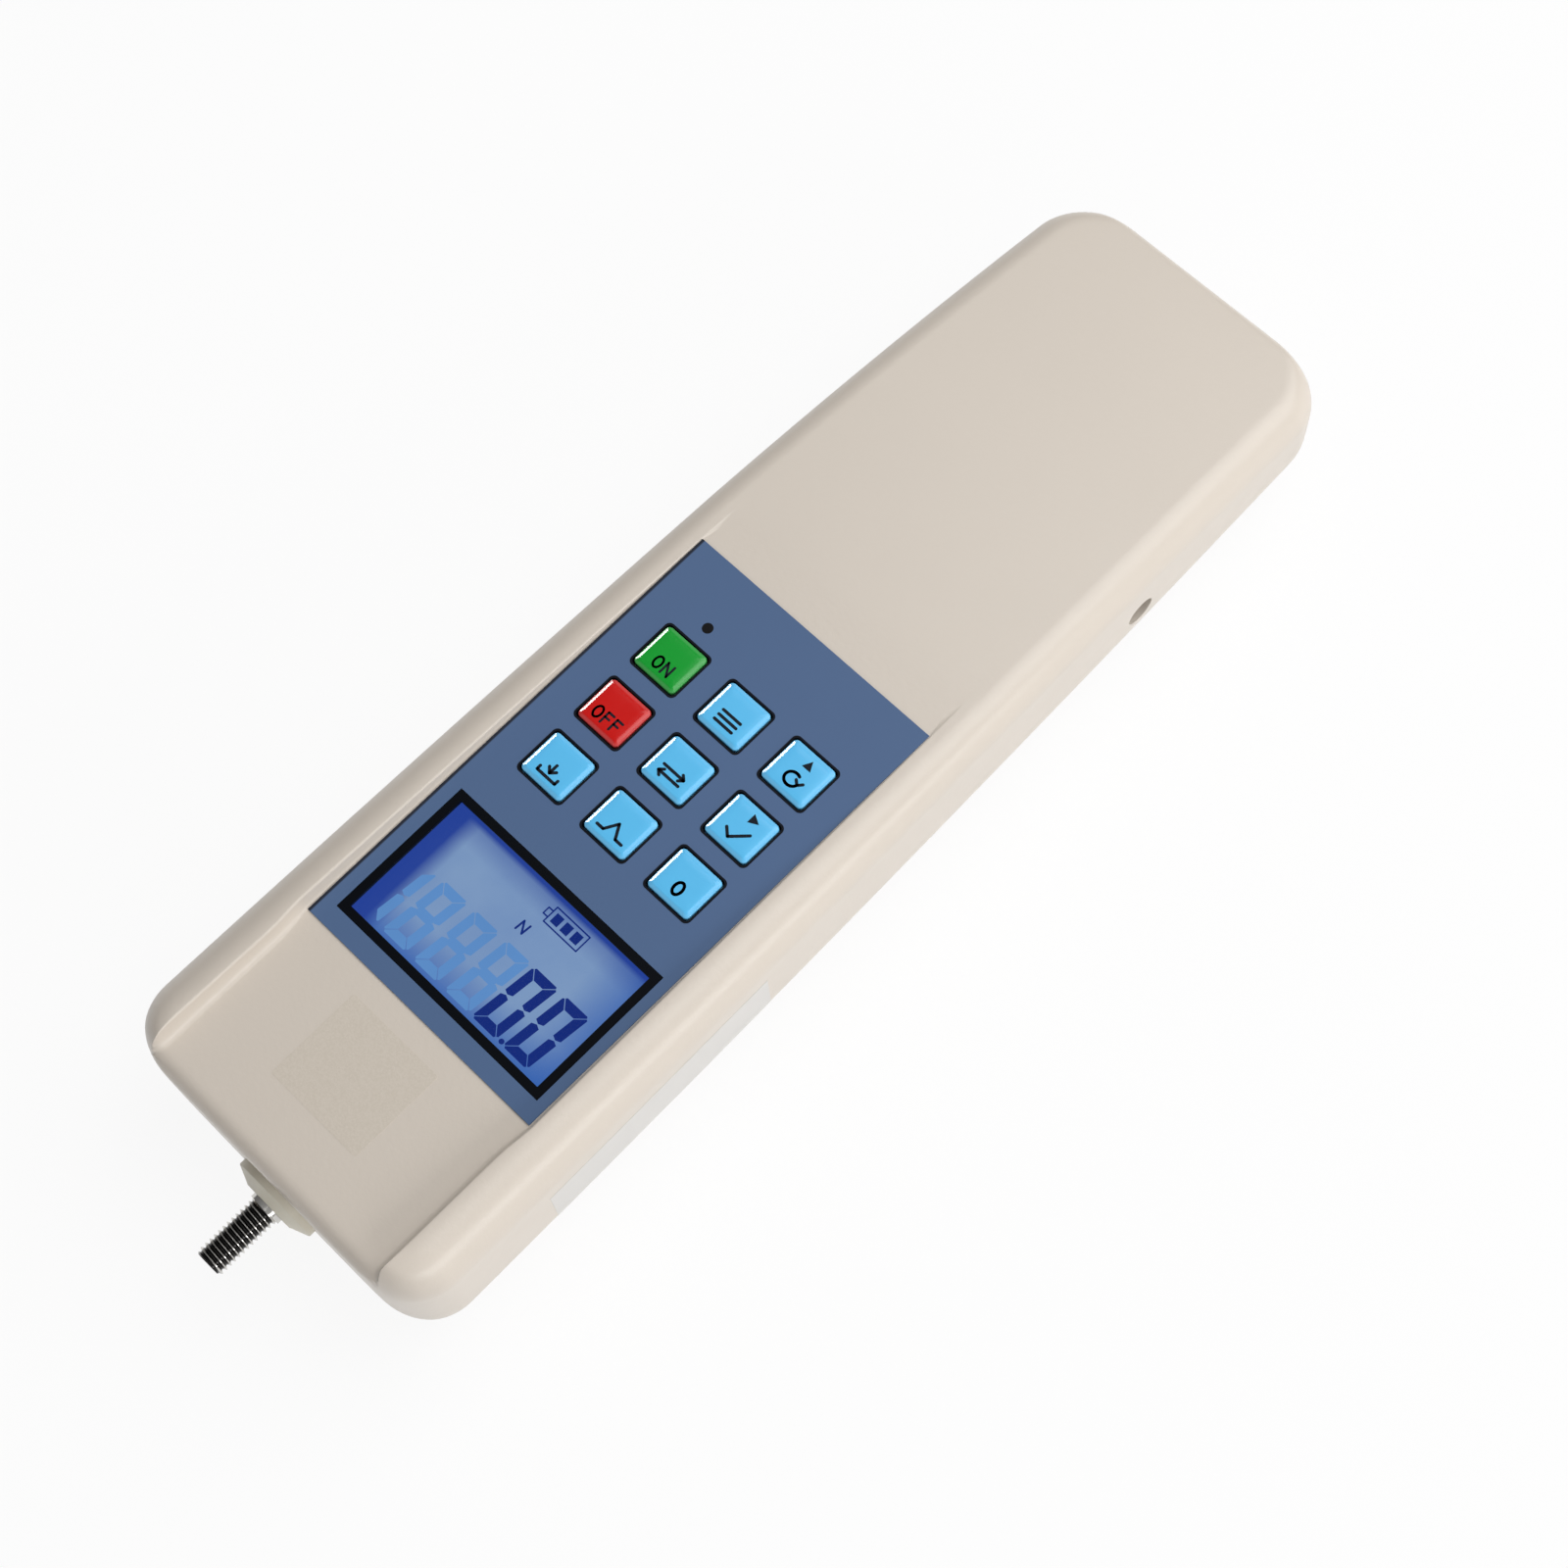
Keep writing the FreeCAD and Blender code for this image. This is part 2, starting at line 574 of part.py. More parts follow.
def back_housing(outer, cavity):
    """The deep back shell with its lip, bosses, battery cradle and openings."""
    shell = outer.common(below_parting()).cut(cavity)
    lip = housing_form(WALL - LIP_THICKNESS, RAIL_CREST_NEAR).common(below_parting(LIP_HEIGHT))
    grown = [lip.cut(below_parting()).cut(cavity)]
    holes = []
    for x, y in mirrored(SHELL_SCREW_PLACES):
        grown.append(post(BOSS_RADIUS, x, y, 0, BOSS_JOINT_HEIGHT).common(outer))
        holes.append(post(SHELL_SCREW_RADIUS + SCREW_CLEARANCE, x, y, 0, BOSS_JOINT_HEIGHT))
        holes.append(post(SHELL_SCREW_HEAD_RADIUS + HEAD_CLEARANCE / 2, x, y, 0, SCREW_SEAT_HEIGHT))
    for x, y in PLATE_SCREW_PLACES:
        grown.append(post(PLATE_BOSS_RADIUS, x, y, WALL / 2, PLATE_HEIGHT))
        holes.append(post(PLATE_SCREW_RADIUS + THREAD_CLEARANCE, x, y, PLATE_SCREW_SKIN, PLATE_HEIGHT))
    for x, y in stand_places():
        holes.append(post(STANDOFF_RADIUS + PART_CLEARANCE, x, y, 0, PLATE_HEIGHT))
    for x in (CLAMP_POST_LEFT, CLAMP_POST_RIGHT):
        grown.append(post(CLAMP_POST_RADIUS, x, CLAMP_Y, 0, CELL_TOP).common(outer))
        foot = CELL_TOP - CLAMP_SCREW_GRIP - THREAD_CLEARANCE
        holes.append(post(CLAMP_SCREW_RADIUS + THREAD_CLEARANCE, x, CLAMP_Y, foot, CELL_TOP))
    grown += battery_cradle(outer)
    grown.append(socket_shelf(outer))
    grown.append(rod(BUSH_BOSS_RADIUS, 0, SHAFT_HEIGHT, WALL / 2, COLLAR_SPIGOT_LENGTH + BUSH_LENGTH))
    holes.append(rod(BUSH_RADIUS, 0, SHAFT_HEIGHT, 0, COLLAR_SPIGOT_LENGTH + BUSH_LENGTH))
    holes.append(cross_rod(SOCKET_HOLE_RADIUS, SOCKET_Y, SOCKET_HEIGHT, SOCKET_FRONT, REACH))
    return cut_all(fuse_all(shell, grown), holes)


def battery_cradle(outer):
    """Cross ribs hollowed out to the round of the cells."""
    reach = CELL_PITCH * (CELL_COUNT - 1) / 2 + CELL_RADIUS - CRADLE_MARGIN
    ribs = []
    for y in CRADLE_ROWS:
        rib = box(
            CELL_ROW_MIDDLE - reach, CELL_ROW_MIDDLE + reach,
            y - CRADLE_THICKNESS / 2, y + CRADLE_THICKNESS / 2, WALL / 2, CRADLE_HEIGHT,
        )
        rib = rib.common(outer)
        for x in cell_places():
            around = CELL_RADIUS + PART_CLEARANCE
            rib = rib.cut(rod(around, x, CELL_HEIGHT, y - CRADLE_THICKNESS, y + CRADLE_THICKNESS))
        ribs += rib.Solids
    return ribs


def socket_shelf(outer):
    """The block in the back housing that the charging socket stands on."""
    shelf = box(
        SOCKET_FRONT - SOCKET_BODY_LENGTH, SOCKET_FRONT,
        SOCKET_Y - SOCKET_BODY_WIDTH / 2, SOCKET_Y + SOCKET_BODY_WIDTH / 2,
        WALL / 2, SOCKET_HEIGHT - SOCKET_BODY_HEIGHT / 2,
    )
    return shelf.common(outer)


def shell_screw(x, y):
    """A pan head screw that comes up from the back."""
    outside = SCREW_SEAT_HEIGHT - SHELL_SCREW_HEAD_HEIGHT
    head = post(SHELL_SCREW_HEAD_RADIUS, x, y, outside, SCREW_SEAT_HEIGHT)
    rim = [e for e in head.Edges if e.BoundBox.ZMax < SCREW_SEAT_HEIGHT and e.Closed]
    head = head.makeChamfer(SHELL_SCREW_HEAD_HEIGHT / 4, rim)
    shank = post(SHELL_SCREW_RADIUS, x, y, SCREW_SEAT_HEIGHT, BOSS_JOINT_HEIGHT + SHELL_SCREW_GRIP)
    depth = SHELL_SCREW_HEAD_HEIGHT * SOCKET_DEPTH_SHARE
    recess = post(SHELL_SCREW_HEAD_RADIUS / 2, x, y, outside, outside + depth)
    return head.fuse(shank).cut(recess)


# Keypad


def keypad_panel():
    """The coloured sheet on the floor, with openings for the bezel, keys and lamp."""
    middle = PANEL_NEAR + PANEL_LENGTH / 2
    sheet = box(
        -PANEL_HALF_WIDTH, PANEL_HALF_WIDTH,
        middle - PANEL_LENGTH / 2, middle + PANEL_LENGTH / 2, FLOOR_HEIGHT, PANEL_TOP,
    )
    play = 2 * PART_CLEARANCE
    holes = [display_slab(BEZEL_WIDTH + play, BEZEL_LENGTH + play, 0, PANEL_TOP)]
    holes += [key_opening(x, y, 0, PANEL_TOP) for _, x, y in key_places()]
    holes.append(post(LED_WINDOW_RADIUS, LED_X, LED_Y, 0, PANEL_TOP))
    return cut_all(sheet, holes)


def key_cap(x, y):
    """A key with a chamfered head and a flange that keeps it under the cover."""
    head = rounded_slab(KEY_WIDTH, KEY_LENGTH, x, y, KEY_BOTTOM, KEY_TOP, KEY_CORNER_RADIUS)
    rim = [e for e in head.Edges if e.BoundBox.ZMin > KEY_TOP - KEY_TOP_CHAMFER]
    head = head.makeChamfer(KEY_TOP_CHAMFER, rim)
    grow = 2 * (KEY_GAP + KEY_FLANGE_OVERLAP)
    flange = rounded_slab(
        KEY_WIDTH + grow, KEY_LENGTH + grow, x, y, KEY_BOTTOM, KEY_FLANGE_TOP, KEY_CORNER_RADIUS,
    )
    return head.fuse(flange).removeSplitter()


def plunger(x, y):
    """The moving pin of a key switch."""
    return post(PLUNGER_RADIUS, x, y, BOARD_TOP + SWITCH_HEIGHT - PLUNGER_DEPTH, KEY_BOTTOM)


def switch_housing(x, y):
    """The fixed body of a key switch, with a pocket for its pin."""
    half = SWITCH_SIZE / 2
    top = BOARD_TOP + SWITCH_HEIGHT
    body = box(x - half, x + half, y - half, y + half, BOARD_TOP, top)
    return body.cut(post(PLUNGER_RADIUS + PLUNGER_CLEARANCE, x, y, top - SWITCH_POCKET_DEPTH, top))


# Display


def lcd_bezel():
    """The dark frame round the display, with a flange over the window's edge."""
    frame = display_slab(BEZEL_WIDTH, BEZEL_LENGTH, BEZEL_SEAT, PANEL_TOP)
    view = display_slab(BEZEL_WIDTH - 2 * BEZEL_BORDER, BEZEL_LENGTH - 2 * BEZEL_BORDER, 0, PANEL_TOP)
    seat = display_slab(
        BEZEL_WIDTH - 2 * BEZEL_WALL, BEZEL_LENGTH - 2 * BEZEL_WALL, 0, PANEL_TOP - BEZEL_FLANGE,
    )
    return cut_all(frame, [view, seat])


def lcd_window():
    """The clear sheet under the bezel's flange."""
    edge = 2 * (BEZEL_WALL + PART_CLEARANCE)
    return display_slab(BEZEL_WIDTH - edge, BEZEL_LENGTH - edge, BEZEL_SEAT, BEZEL_SEAT + WINDOW_THICKNESS)


def lcd_glass():
    """The display cell."""
    return display_slab(LCD_GLASS_WIDTH, LCD_GLASS_LENGTH, GLASS_TOP - LCD_GLASS_THICKNESS, GLASS_TOP)


def lcd_backlight():
    """The light guide under the display cell."""
    return display_slab(LCD_GLASS_WIDTH, LCD_GLASS_LENGTH, BOARD_TOP, BOARD_TOP + LCD_BACKLIGHT_THICKNESS)


def lcd_frame():
    """The frame that holds the cell and the light guide on the board."""
    play = 2 * PART_CLEARANCE
    grow = play + 2 * LCD_FRAME_WALL
    frame = display_slab(LCD_GLASS_WIDTH + grow, LCD_GLASS_LENGTH + grow, BOARD_TOP, FRAME_TOP)
    room = display_slab(LCD_GLASS_WIDTH + play, LCD_GLASS_LENGTH + play, BOARD_TOP, GLASS_TOP)
    view = display_slab(
        LCD_GLASS_WIDTH - 2 * LCD_FRAME_LIP, LCD_GLASS_LENGTH - 2 * LCD_FRAME_LIP, BOARD_TOP, FRAME_TOP,
    )
    return cut_all(frame, [room, view])


def lcd_gasket():
    """The foam ring between the display frame and the cover."""
    ring = display_slab(LCD_GLASS_WIDTH, LCD_GLASS_LENGTH, FRAME_TOP, COVER_INSIDE)
    hole = display_slab(
        LCD_GLASS_WIDTH - 2 * GASKET_BORDER, LCD_GLASS_LENGTH - 2 * GASKET_BORDER, 0, COVER_INSIDE,
    )
    return ring.cut(hole)


# Main board


def main_board():
    """The circuit board that hangs from the cover's posts."""
    board = box(-BOARD_HALF_WIDTH, BOARD_HALF_WIDTH, BOARD_NEAR, BOARD_FAR, BOARD_HEIGHT, BOARD_TOP)
    places = mirrored([(BOARD_SCREW_X, row) for row in BOARD_SCREW_ROWS])
    holes = [post(BOARD_SCREW_RADIUS + SCREW_CLEARANCE, x, y, 0, BOARD_TOP) for x, y in places]
    for offset in (-LED_LEAD_SPACING, LED_LEAD_SPACING):
        holes.append(post(LED_LEAD_RADIUS, LED_X + offset, LED_Y, 0, BOARD_TOP))
    return cut_all(board, holes)


def board_screw(x, y):
    """A small screw that holds the board up against a post."""
    head = post(BOARD_SCREW_HEAD_RADIUS, x, y, BOARD_HEIGHT - BOARD_SCREW_HEAD_HEIGHT, BOARD_HEIGHT)
    shank = post(BOARD_SCREW_RADIUS, x, y, BOARD_HEIGHT, BOARD_TOP + BOARD_SCREW_GRIP)
    return head.fuse(shank).removeSplitter()


def board_components():
    """Chips, connectors and capacitors on the underside of the board."""
    parts = []
    for x, y, width, length, height in CHIPS:
        parts.append(block(x, y, width, length, BOARD_HEIGHT - height, BOARD_HEIGHT))
    for x, y, width, length, height in CONNECTORS:
        shell = block(x, y, width, length, BOARD_HEIGHT - height, BOARD_HEIGHT)
        thin = 2 * CONNECTOR_WALL
        mouth = block(x, y, width - thin, length - thin, BOARD_HEIGHT - height, BOARD_HEIGHT - CONNECTOR_WALL)
        parts.append(shell.cut(mouth))
    for x, y in CAPACITORS:
        parts.append(post(CAPACITOR_RADIUS, x, y, BOARD_HEIGHT - CAPACITOR_HEIGHT, BOARD_HEIGHT))
    return Part.makeCompound(parts)


def buzzer():
    """The round sounder under the board, with its sound hole."""
    can = post(BUZZER_RADIUS, BUZZER_X, BUZZER_Y, BOARD_HEIGHT - BUZZER_HEIGHT, BOARD_HEIGHT)
    foot = BOARD_HEIGHT - BUZZER_HEIGHT
    return can.cut(post(BUZZER_HOLE_RADIUS, BUZZER_X, BUZZER_Y, foot, foot + BUZZER_HEIGHT / 2))


def power_led():
    """The lamp under the panel's dark dot, on two leads."""
    dome_centre = FLOOR_HEIGHT - LED_RADIUS
    foot = FLOOR_HEIGHT - LED_LENGTH
    body = post(LED_RADIUS, LED_X, LED_Y, foot, dome_centre)
    dome = Part.makeSphere(LED_RADIUS, Vector(LED_X, LED_Y, dome_centre))
    leads = []
    for offset in (-LED_LEAD_SPACING, LED_LEAD_SPACING):
        leads.append(post(LED_LEAD_RADIUS, LED_X + offset, LED_Y, BOARD_HEIGHT, foot + LED_LEAD_RADIUS))
    return fuse_all(body, [dome] + leads)


def led_window():
    """The dark disc in the panel over the lamp."""
    return post(LED_WINDOW_RADIUS, LED_X, LED_Y, FLOOR_HEIGHT, PANEL_TOP)


# Measuring shaft and what guides it


def revolved(profile, x=0.0, z=SHAFT_HEIGHT):
    """A turned part from pairs of radius and place along the shaft."""
    points = [Vector(x + r, y, z) for r, y in profile]
    face = Part.Face(Part.makePolygon(points + [points[0]]))
    return face.revolve(Vector(x, 0, z), Vector(0, 1, 0), FULL_TURN)


def measuring_shaft():
    """The turned steel shaft: outer thread, shoulder, guide and inner thread."""
    inner_end = BEAM_NEAR + SHAFT_GRIP
    return revolved([
        (0, -SHAFT_TIP),
        (THREAD_RADIUS - TIP_CHAMFER, -SHAFT_TIP),
        (THREAD_RADIUS, TIP_CHAMFER - SHAFT_TIP),
        (THREAD_RADIUS, -THREAD_START),
        (SHOULDER_RADIUS, -THREAD_START),
        (SHOULDER_RADIUS, GUIDE_START),
        (GUIDE_RADIUS, GUIDE_START),
        (GUIDE_RADIUS, GUIDE_END),
        (THREAD_RADIUS, GUIDE_END),
        (THREAD_RADIUS, inner_end),
        (0, inner_end),
    ])


def shaft_locknut():
    """The hexagon nut that locks the shaft against the load cell."""
    far = BEAM_NEAR - RUNNING_CLEARANCE
    near = far - NUT_THICKNESS
    corner = NUT_ACROSS_CORNERS / 2
    points = []
    for side in range(7):
        angle = math.radians(2 * HEX_HALF_ANGLE_DEG * side)
        points.append(Vector(corner * math.cos(angle), near, SHAFT_HEIGHT + corner * math.sin(angle)))
    blank = Part.Face(Part.makePolygon(points)).extrude(Vector(0, NUT_THICKNESS, 0))
    turned = revolved([
        (0, near), (corner - NUT_CHAMFER, near), (corner, near + NUT_CHAMFER),
        (corner, far - NUT_CHAMFER), (corner - NUT_CHAMFER, far), (0, far),
    ])
    return blank.common(turned).cut(rod(THREAD_RADIUS, 0, SHAFT_HEIGHT, near, far))


def shaft_collar():
    """The tapered plastic collar on the near end, with a spigot into the wall."""
    bore = SHOULDER_RADIUS + COLLAR_BORE_CLEARANCE
    spigot = BUSH_RADIUS - RUNNING_CLEARANCE
    return revolved([
        (bore, -COLLAR_LENGTH),
        (COLLAR_NOSE_RADIUS, -COLLAR_LENGTH),
        (COLLAR_RADIUS, -COLLAR_RIM),
        (COLLAR_RADIUS, 0),
        (spigot, 0),
        (spigot, COLLAR_SPIGOT_LENGTH),
        (bore, COLLAR_SPIGOT_LENGTH),
    ])


def shaft_bush():
    """The brass bush that guides the shaft in the near wall."""
    bore = GUIDE_RADIUS + RUNNING_CLEARANCE
    near = COLLAR_SPIGOT_LENGTH
    far = near + BUSH_LENGTH
    return revolved([(bore, near), (BUSH_RADIUS, near), (BUSH_RADIUS, far), (bore, far)])


# Load cell and chassis


def beam_bolt_places():
    """Middles of the four bolts through the ends of the load cell."""
    rows = [BEAM_MIDDLE - BEAM_BOLT_SPREAD / 2, BEAM_MIDDLE + BEAM_BOLT_SPREAD / 2]
    return mirrored([(BEAM_BOLT_X, y) for y in rows])


def load_cell():
    """The bending beam: two pairs of overlapping bores leave thin flexures on each side."""
    beam = box(-BEAM_HALF_LENGTH, BEAM_HALF_LENGTH, BEAM_NEAR, BEAM_FAR, BEAM_BOTTOM, BEAM_TOP)
    upright = [e for e in beam.Edges if abs(e.Vertexes[0].Z - e.Vertexes[-1].Z) > BEAM_HEIGHT / 2]
    beam = beam.makeChamfer(BEAM_CHAMFER, upright)
    flexures = mirrored([(x, BEAM_MIDDLE) for x in FLEXURE_HOLE_PLACES])
    holes = [post(FLEXURE_HOLE_RADIUS, x, y, BEAM_BOTTOM, BEAM_TOP) for x, y in flexures]
    loose = BEAM_BOLT_RADIUS + SCREW_CLEARANCE
    holes += [post(loose, x, y, BEAM_BOTTOM, BEAM_TOP) for x, y in beam_bolt_places()]
    holes.append(rod(THREAD_RADIUS + RUNNING_CLEARANCE, 0, SHAFT_HEIGHT, BEAM_NEAR, BEAM_FAR))
    return cut_all(beam, holes)


def strain_gauges():
    """Foil gauges on the far face of the beam, over the thin walls."""
    foils = []
    for x, _ in mirrored([(x, 0) for x in FLEXURE_HOLE_PLACES]):
        foils.append(box(
            x - GAUGE_FOIL_WIDTH / 2, x + GAUGE_FOIL_WIDTH / 2, BEAM_FAR, BEAM_FAR + GAUGE_FOIL_THICKNESS,
            SHAFT_HEIGHT - GAUGE_FOIL_HEIGHT / 2, SHAFT_HEIGHT + GAUGE_FOIL_HEIGHT / 2,
        ))
    return Part.makeCompound(foils)


def load_cell_bolt(x, y):
    """A socket head bolt down through the beam into the chassis pad."""
    head = post(BEAM_BOLT_HEAD_RADIUS, x, y, BEAM_TOP, BEAM_TOP + BEAM_BOLT_HEAD_HEIGHT)
    shank = post(BEAM_BOLT_RADIUS, x, y, BEAM_BOTTOM - BEAM_BOLT_GRIP, BEAM_TOP)
    socket_foot = BEAM_TOP + BEAM_BOLT_HEAD_HEIGHT * SOCKET_DEPTH_SHARE
    socket = post(BOLT_SOCKET_RADIUS, x, y, socket_foot, BEAM_TOP + BEAM_BOLT_HEAD_HEIGHT)
    return head.fuse(shank).cut(socket)


def stand_places():
    """Middles of the four standoffs of the stand mount."""
    rows = [STAND_MIDDLE - STAND_SPACING_Y / 2, STAND_MIDDLE + STAND_SPACING_Y / 2]
    return mirrored([(STAND_SPACING_X / 2, y) for y in rows])


def chassis_plate():
    """The machined plate: a wide head with pads for the load cell, and a tail with the stand mount."""
    head = plate_slab(2 * BEAM_HALF_LENGTH, PLATE_HEAD_NEAR, PLATE_HEAD_FAR)
    tail = plate_slab(2 * PLATE_TAIL_HALF_WIDTH, PLATE_HEAD_NEAR, PLATE_FAR)
    pads = []
    bevels = []
    for side in (-1, 1):
        bevels.append(side_bevel(side))
        middle = side * (BEAM_HALF_LENGTH - PAD_WIDTH / 2)
        pads.append(block(middle, BEAM_MIDDLE, PAD_WIDTH, BEAM_DEPTH, PLATE_TOP, BEAM_BOTTOM))
    holes = [post(PLATE_SCREW_RADIUS + SCREW_CLEARANCE, x, y, 0, PLATE_TOP) for x, y in PLATE_SCREW_PLACES]
    holes += [post(STANDOFF_SPIGOT_RADIUS, x, y, 0, PLATE_TOP) for x, y in stand_places()]
    bolt_foot = BEAM_BOTTOM - BEAM_BOLT_GRIP - THREAD_CLEARANCE
    tapped = BEAM_BOLT_RADIUS + THREAD_CLEARANCE
    holes += [post(tapped, x, y, bolt_foot, BEAM_BOTTOM) for x, y in beam_bolt_places()]
    holes += [plate_slab(LIGHTENING_WIDTH, near, far) for near, far in LIGHTENING_ROWS]
    return cut_all(fuse_all(head, [tail] + pads), holes + bevels)


def plate_slab(width, near, far):
    """A rounded slab of the plate's thickness between two places along the housing."""
    return rounded_slab(width, far - near, 0, (near + far) / 2, PLATE_HEIGHT, PLATE_TOP, PLATE_CORNER_RADIUS)


def side_bevel(side):
    """The wedge taken off the plate's head where the housing's back edge is round."""
    edge = side * BEAM_HALF_LENGTH
    foot = side * (BEAM_HALF_LENGTH - PLATE_SIDE_BEVEL)
    outside = side * REACH
    points = [
        Vector(foot, 0, PLATE_HEIGHT), Vector(edge, 0, PLATE_TOP), Vector(outside, 0, PLATE_TOP),
        Vector(outside, 0, 0), Vector(foot, 0, 0), Vector(foot, 0, PLATE_HEIGHT),
    ]
    return Part.Face(Part.makePolygon(points)).extrude(Vector(0, REACH, 0))


def plate_screw(x, y):
    """A pan head screw that holds the chassis plate to the back housing."""
    head = post(PLATE_SCREW_HEAD_RADIUS, x, y, PLATE_TOP, PLATE_TOP + PLATE_SCREW_HEAD_HEIGHT)
    shank = post(PLATE_SCREW_RADIUS, x, y, PLATE_SCREW_SKIN + THREAD_CLEARANCE, PLATE_TOP)
    return head.fuse(shank).removeSplitter()


def standoff(x, y):
    """A threaded standoff, flush with the back and pressed into the chassis plate."""
    body = post(STANDOFF_RADIUS, x, y, 0, PLATE_HEIGHT)
    spigot = post(STANDOFF_SPIGOT_RADIUS, x, y, PLATE_HEIGHT, PLATE_TOP)
    return body.fuse(spigot).cut(post(STAND_THREAD_RADIUS, x, y, 0, PLATE_TOP))


# Battery and charging socket


def cell_places():
    """Middles of the battery cells across the housing."""
    return [CELL_ROW_MIDDLE + CELL_PITCH * (i - (CELL_COUNT - 1) / 2) for i in range(CELL_COUNT)]


def battery_cell(x):
    """A round cell with the nub of its pole."""
    can = rod(CELL_RADIUS, x, CELL_HEIGHT, CELL_NEAR, CELL_FAR)
    nub = rod(CELL_NUB_RADIUS, x, CELL_HEIGHT, CELL_FAR, CELL_FAR + CELL_NUB_LENGTH)
    return can.fuse(nub).removeSplitter()


def battery_clamp():
    """The flat strap over the cells."""
    near = CLAMP_Y - CLAMP_WIDTH / 2
    far = CLAMP_Y + CLAMP_WIDTH / 2
    strap = box(CLAMP_POST_LEFT, CLAMP_POST_RIGHT, near, far, CELL_TOP, CELL_TOP + CLAMP_THICKNESS)
    ends = []
    holes = []
    for x in (CLAMP_POST_LEFT, CLAMP_POST_RIGHT):
        ends.append(post(CLAMP_POST_RADIUS, x, CLAMP_Y, CELL_TOP, CELL_TOP + CLAMP_THICKNESS))
        holes.append(post(CLAMP_SCREW_RADIUS + SCREW_CLEARANCE, x, CLAMP_Y, 0, CELL_TOP + CLAMP_THICKNESS))
    return cut_all(fuse_all(strap, ends), holes)


def clamp_screw(x):
    """A screw that holds the strap to its post."""
    seat = CELL_TOP + CLAMP_THICKNESS
    head = post(CLAMP_SCREW_HEAD_RADIUS, x, CLAMP_Y, seat, seat + CLAMP_SCREW_HEAD_HEIGHT)
    shank = post(CLAMP_SCREW_RADIUS, x, CLAMP_Y, CELL_TOP - CLAMP_SCREW_GRIP, seat)
    return head.fuse(shank).removeSplitter()


def charging_socket():
    """The barrel socket behind the hole in the right wall, with its centre pin."""
    back = SOCKET_FRONT - SOCKET_BODY_LENGTH
    body = box(
        back, SOCKET_FRONT,
        SOCKET_Y - SOCKET_BODY_WIDTH / 2, SOCKET_Y + SOCKET_BODY_WIDTH / 2,
        SOCKET_HEIGHT - SOCKET_BODY_HEIGHT / 2, SOCKET_HEIGHT + SOCKET_BODY_HEIGHT / 2,
    )
    bore_foot = SOCKET_FRONT - SOCKET_BORE_DEPTH
    bore = cross_rod(SOCKET_BORE_RADIUS, SOCKET_Y, SOCKET_HEIGHT, bore_foot, SOCKET_FRONT)
    pin = cross_rod(SOCKET_PIN_RADIUS, SOCKET_Y, SOCKET_HEIGHT, back, SOCKET_FRONT - SOCKET_PIN_SHORT)
    return body.cut(bore).fuse(pin).removeSplitter()


def assembly():
    """Every piece by the name of its node."""
    outer = outer_form()
    cavity = housing_form(WALL, FLOOR_HEIGHT)
    keys = key_places()
    board_screws = mirrored([(BOARD_SCREW_X, row) for row in BOARD_SCREW_ROWS])
    clamp_posts = (CLAMP_POST_LEFT, CLAMP_POST_RIGHT)
    pieces = {
        "front_cover": front_cover(outer, cavity),
        "back_housing": back_housing(outer, cavity),
        "shell_screws": Part.makeCompound([shell_screw(x, y) for x, y in mirrored(SHELL_SCREW_PLACES)]),
        "keypad_panel": keypad_panel(),
        "switch_housings": Part.makeCompound([switch_housing(x, y) for _, x, y in keys]),
        "lcd_bezel": lcd_bezel(),
        "lcd_window": lcd_window(),
        "lcd_gasket": lcd_gasket(),
        "lcd_glass": lcd_glass(),
        "lcd_backlight": lcd_backlight(),
        "lcd_frame": lcd_frame(),
        "led_window": led_window(),
        "power_led": power_led(),
        "main_board": main_board(),
        "board_components": board_components(),
        "board_screws": Part.makeCompound([board_screw(x, y) for x, y in board_screws]),
        "buzzer": buzzer(),
        "measuring_shaft": measuring_shaft(),
        "shaft_locknut": shaft_locknut(),
        "shaft_collar": shaft_collar(),
        "shaft_bush": shaft_bush(),
        "load_cell": load_cell(),
        "strain_gauges": strain_gauges(),
        "load_cell_bolts": Part.makeCompound([load_cell_bolt(x, y) for x, y in beam_bolt_places()]),
        "chassis_plate": chassis_plate(),
        "chassis_screws": Part.makeCompound([plate_screw(x, y) for x, y in PLATE_SCREW_PLACES]),
        "stand_standoffs": Part.makeCompound([standoff(x, y) for x, y in stand_places()]),
        "battery_cells": Part.makeCompound([battery_cell(x) for x in cell_places()]),
        "battery_clamp": battery_clamp(),
        "battery_clamp_screws": Part.makeCompound([clamp_screw(x) for x in clamp_posts]),
        "charging_socket": charging_socket(),
    }
    for name, x, y in keys:
        pieces["key_" + name] = key_cap(x, y)
        pieces["plunger_" + name] = plunger(x, y)
    return pieces


os.makedirs("parts", exist_ok=True)
for node, shape in assembly().items():
    shape.translate(Vector(0, -STAND_MIDDLE, 0))
    shape.exportStep("parts/" + node + ".step")
    print(node, "solids", len(shape.Solids), "volume", round(shape.Volume, 1))
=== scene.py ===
import json
import math

import bmesh
import bpy
import numpy as np
from mathutils import Matrix, Vector


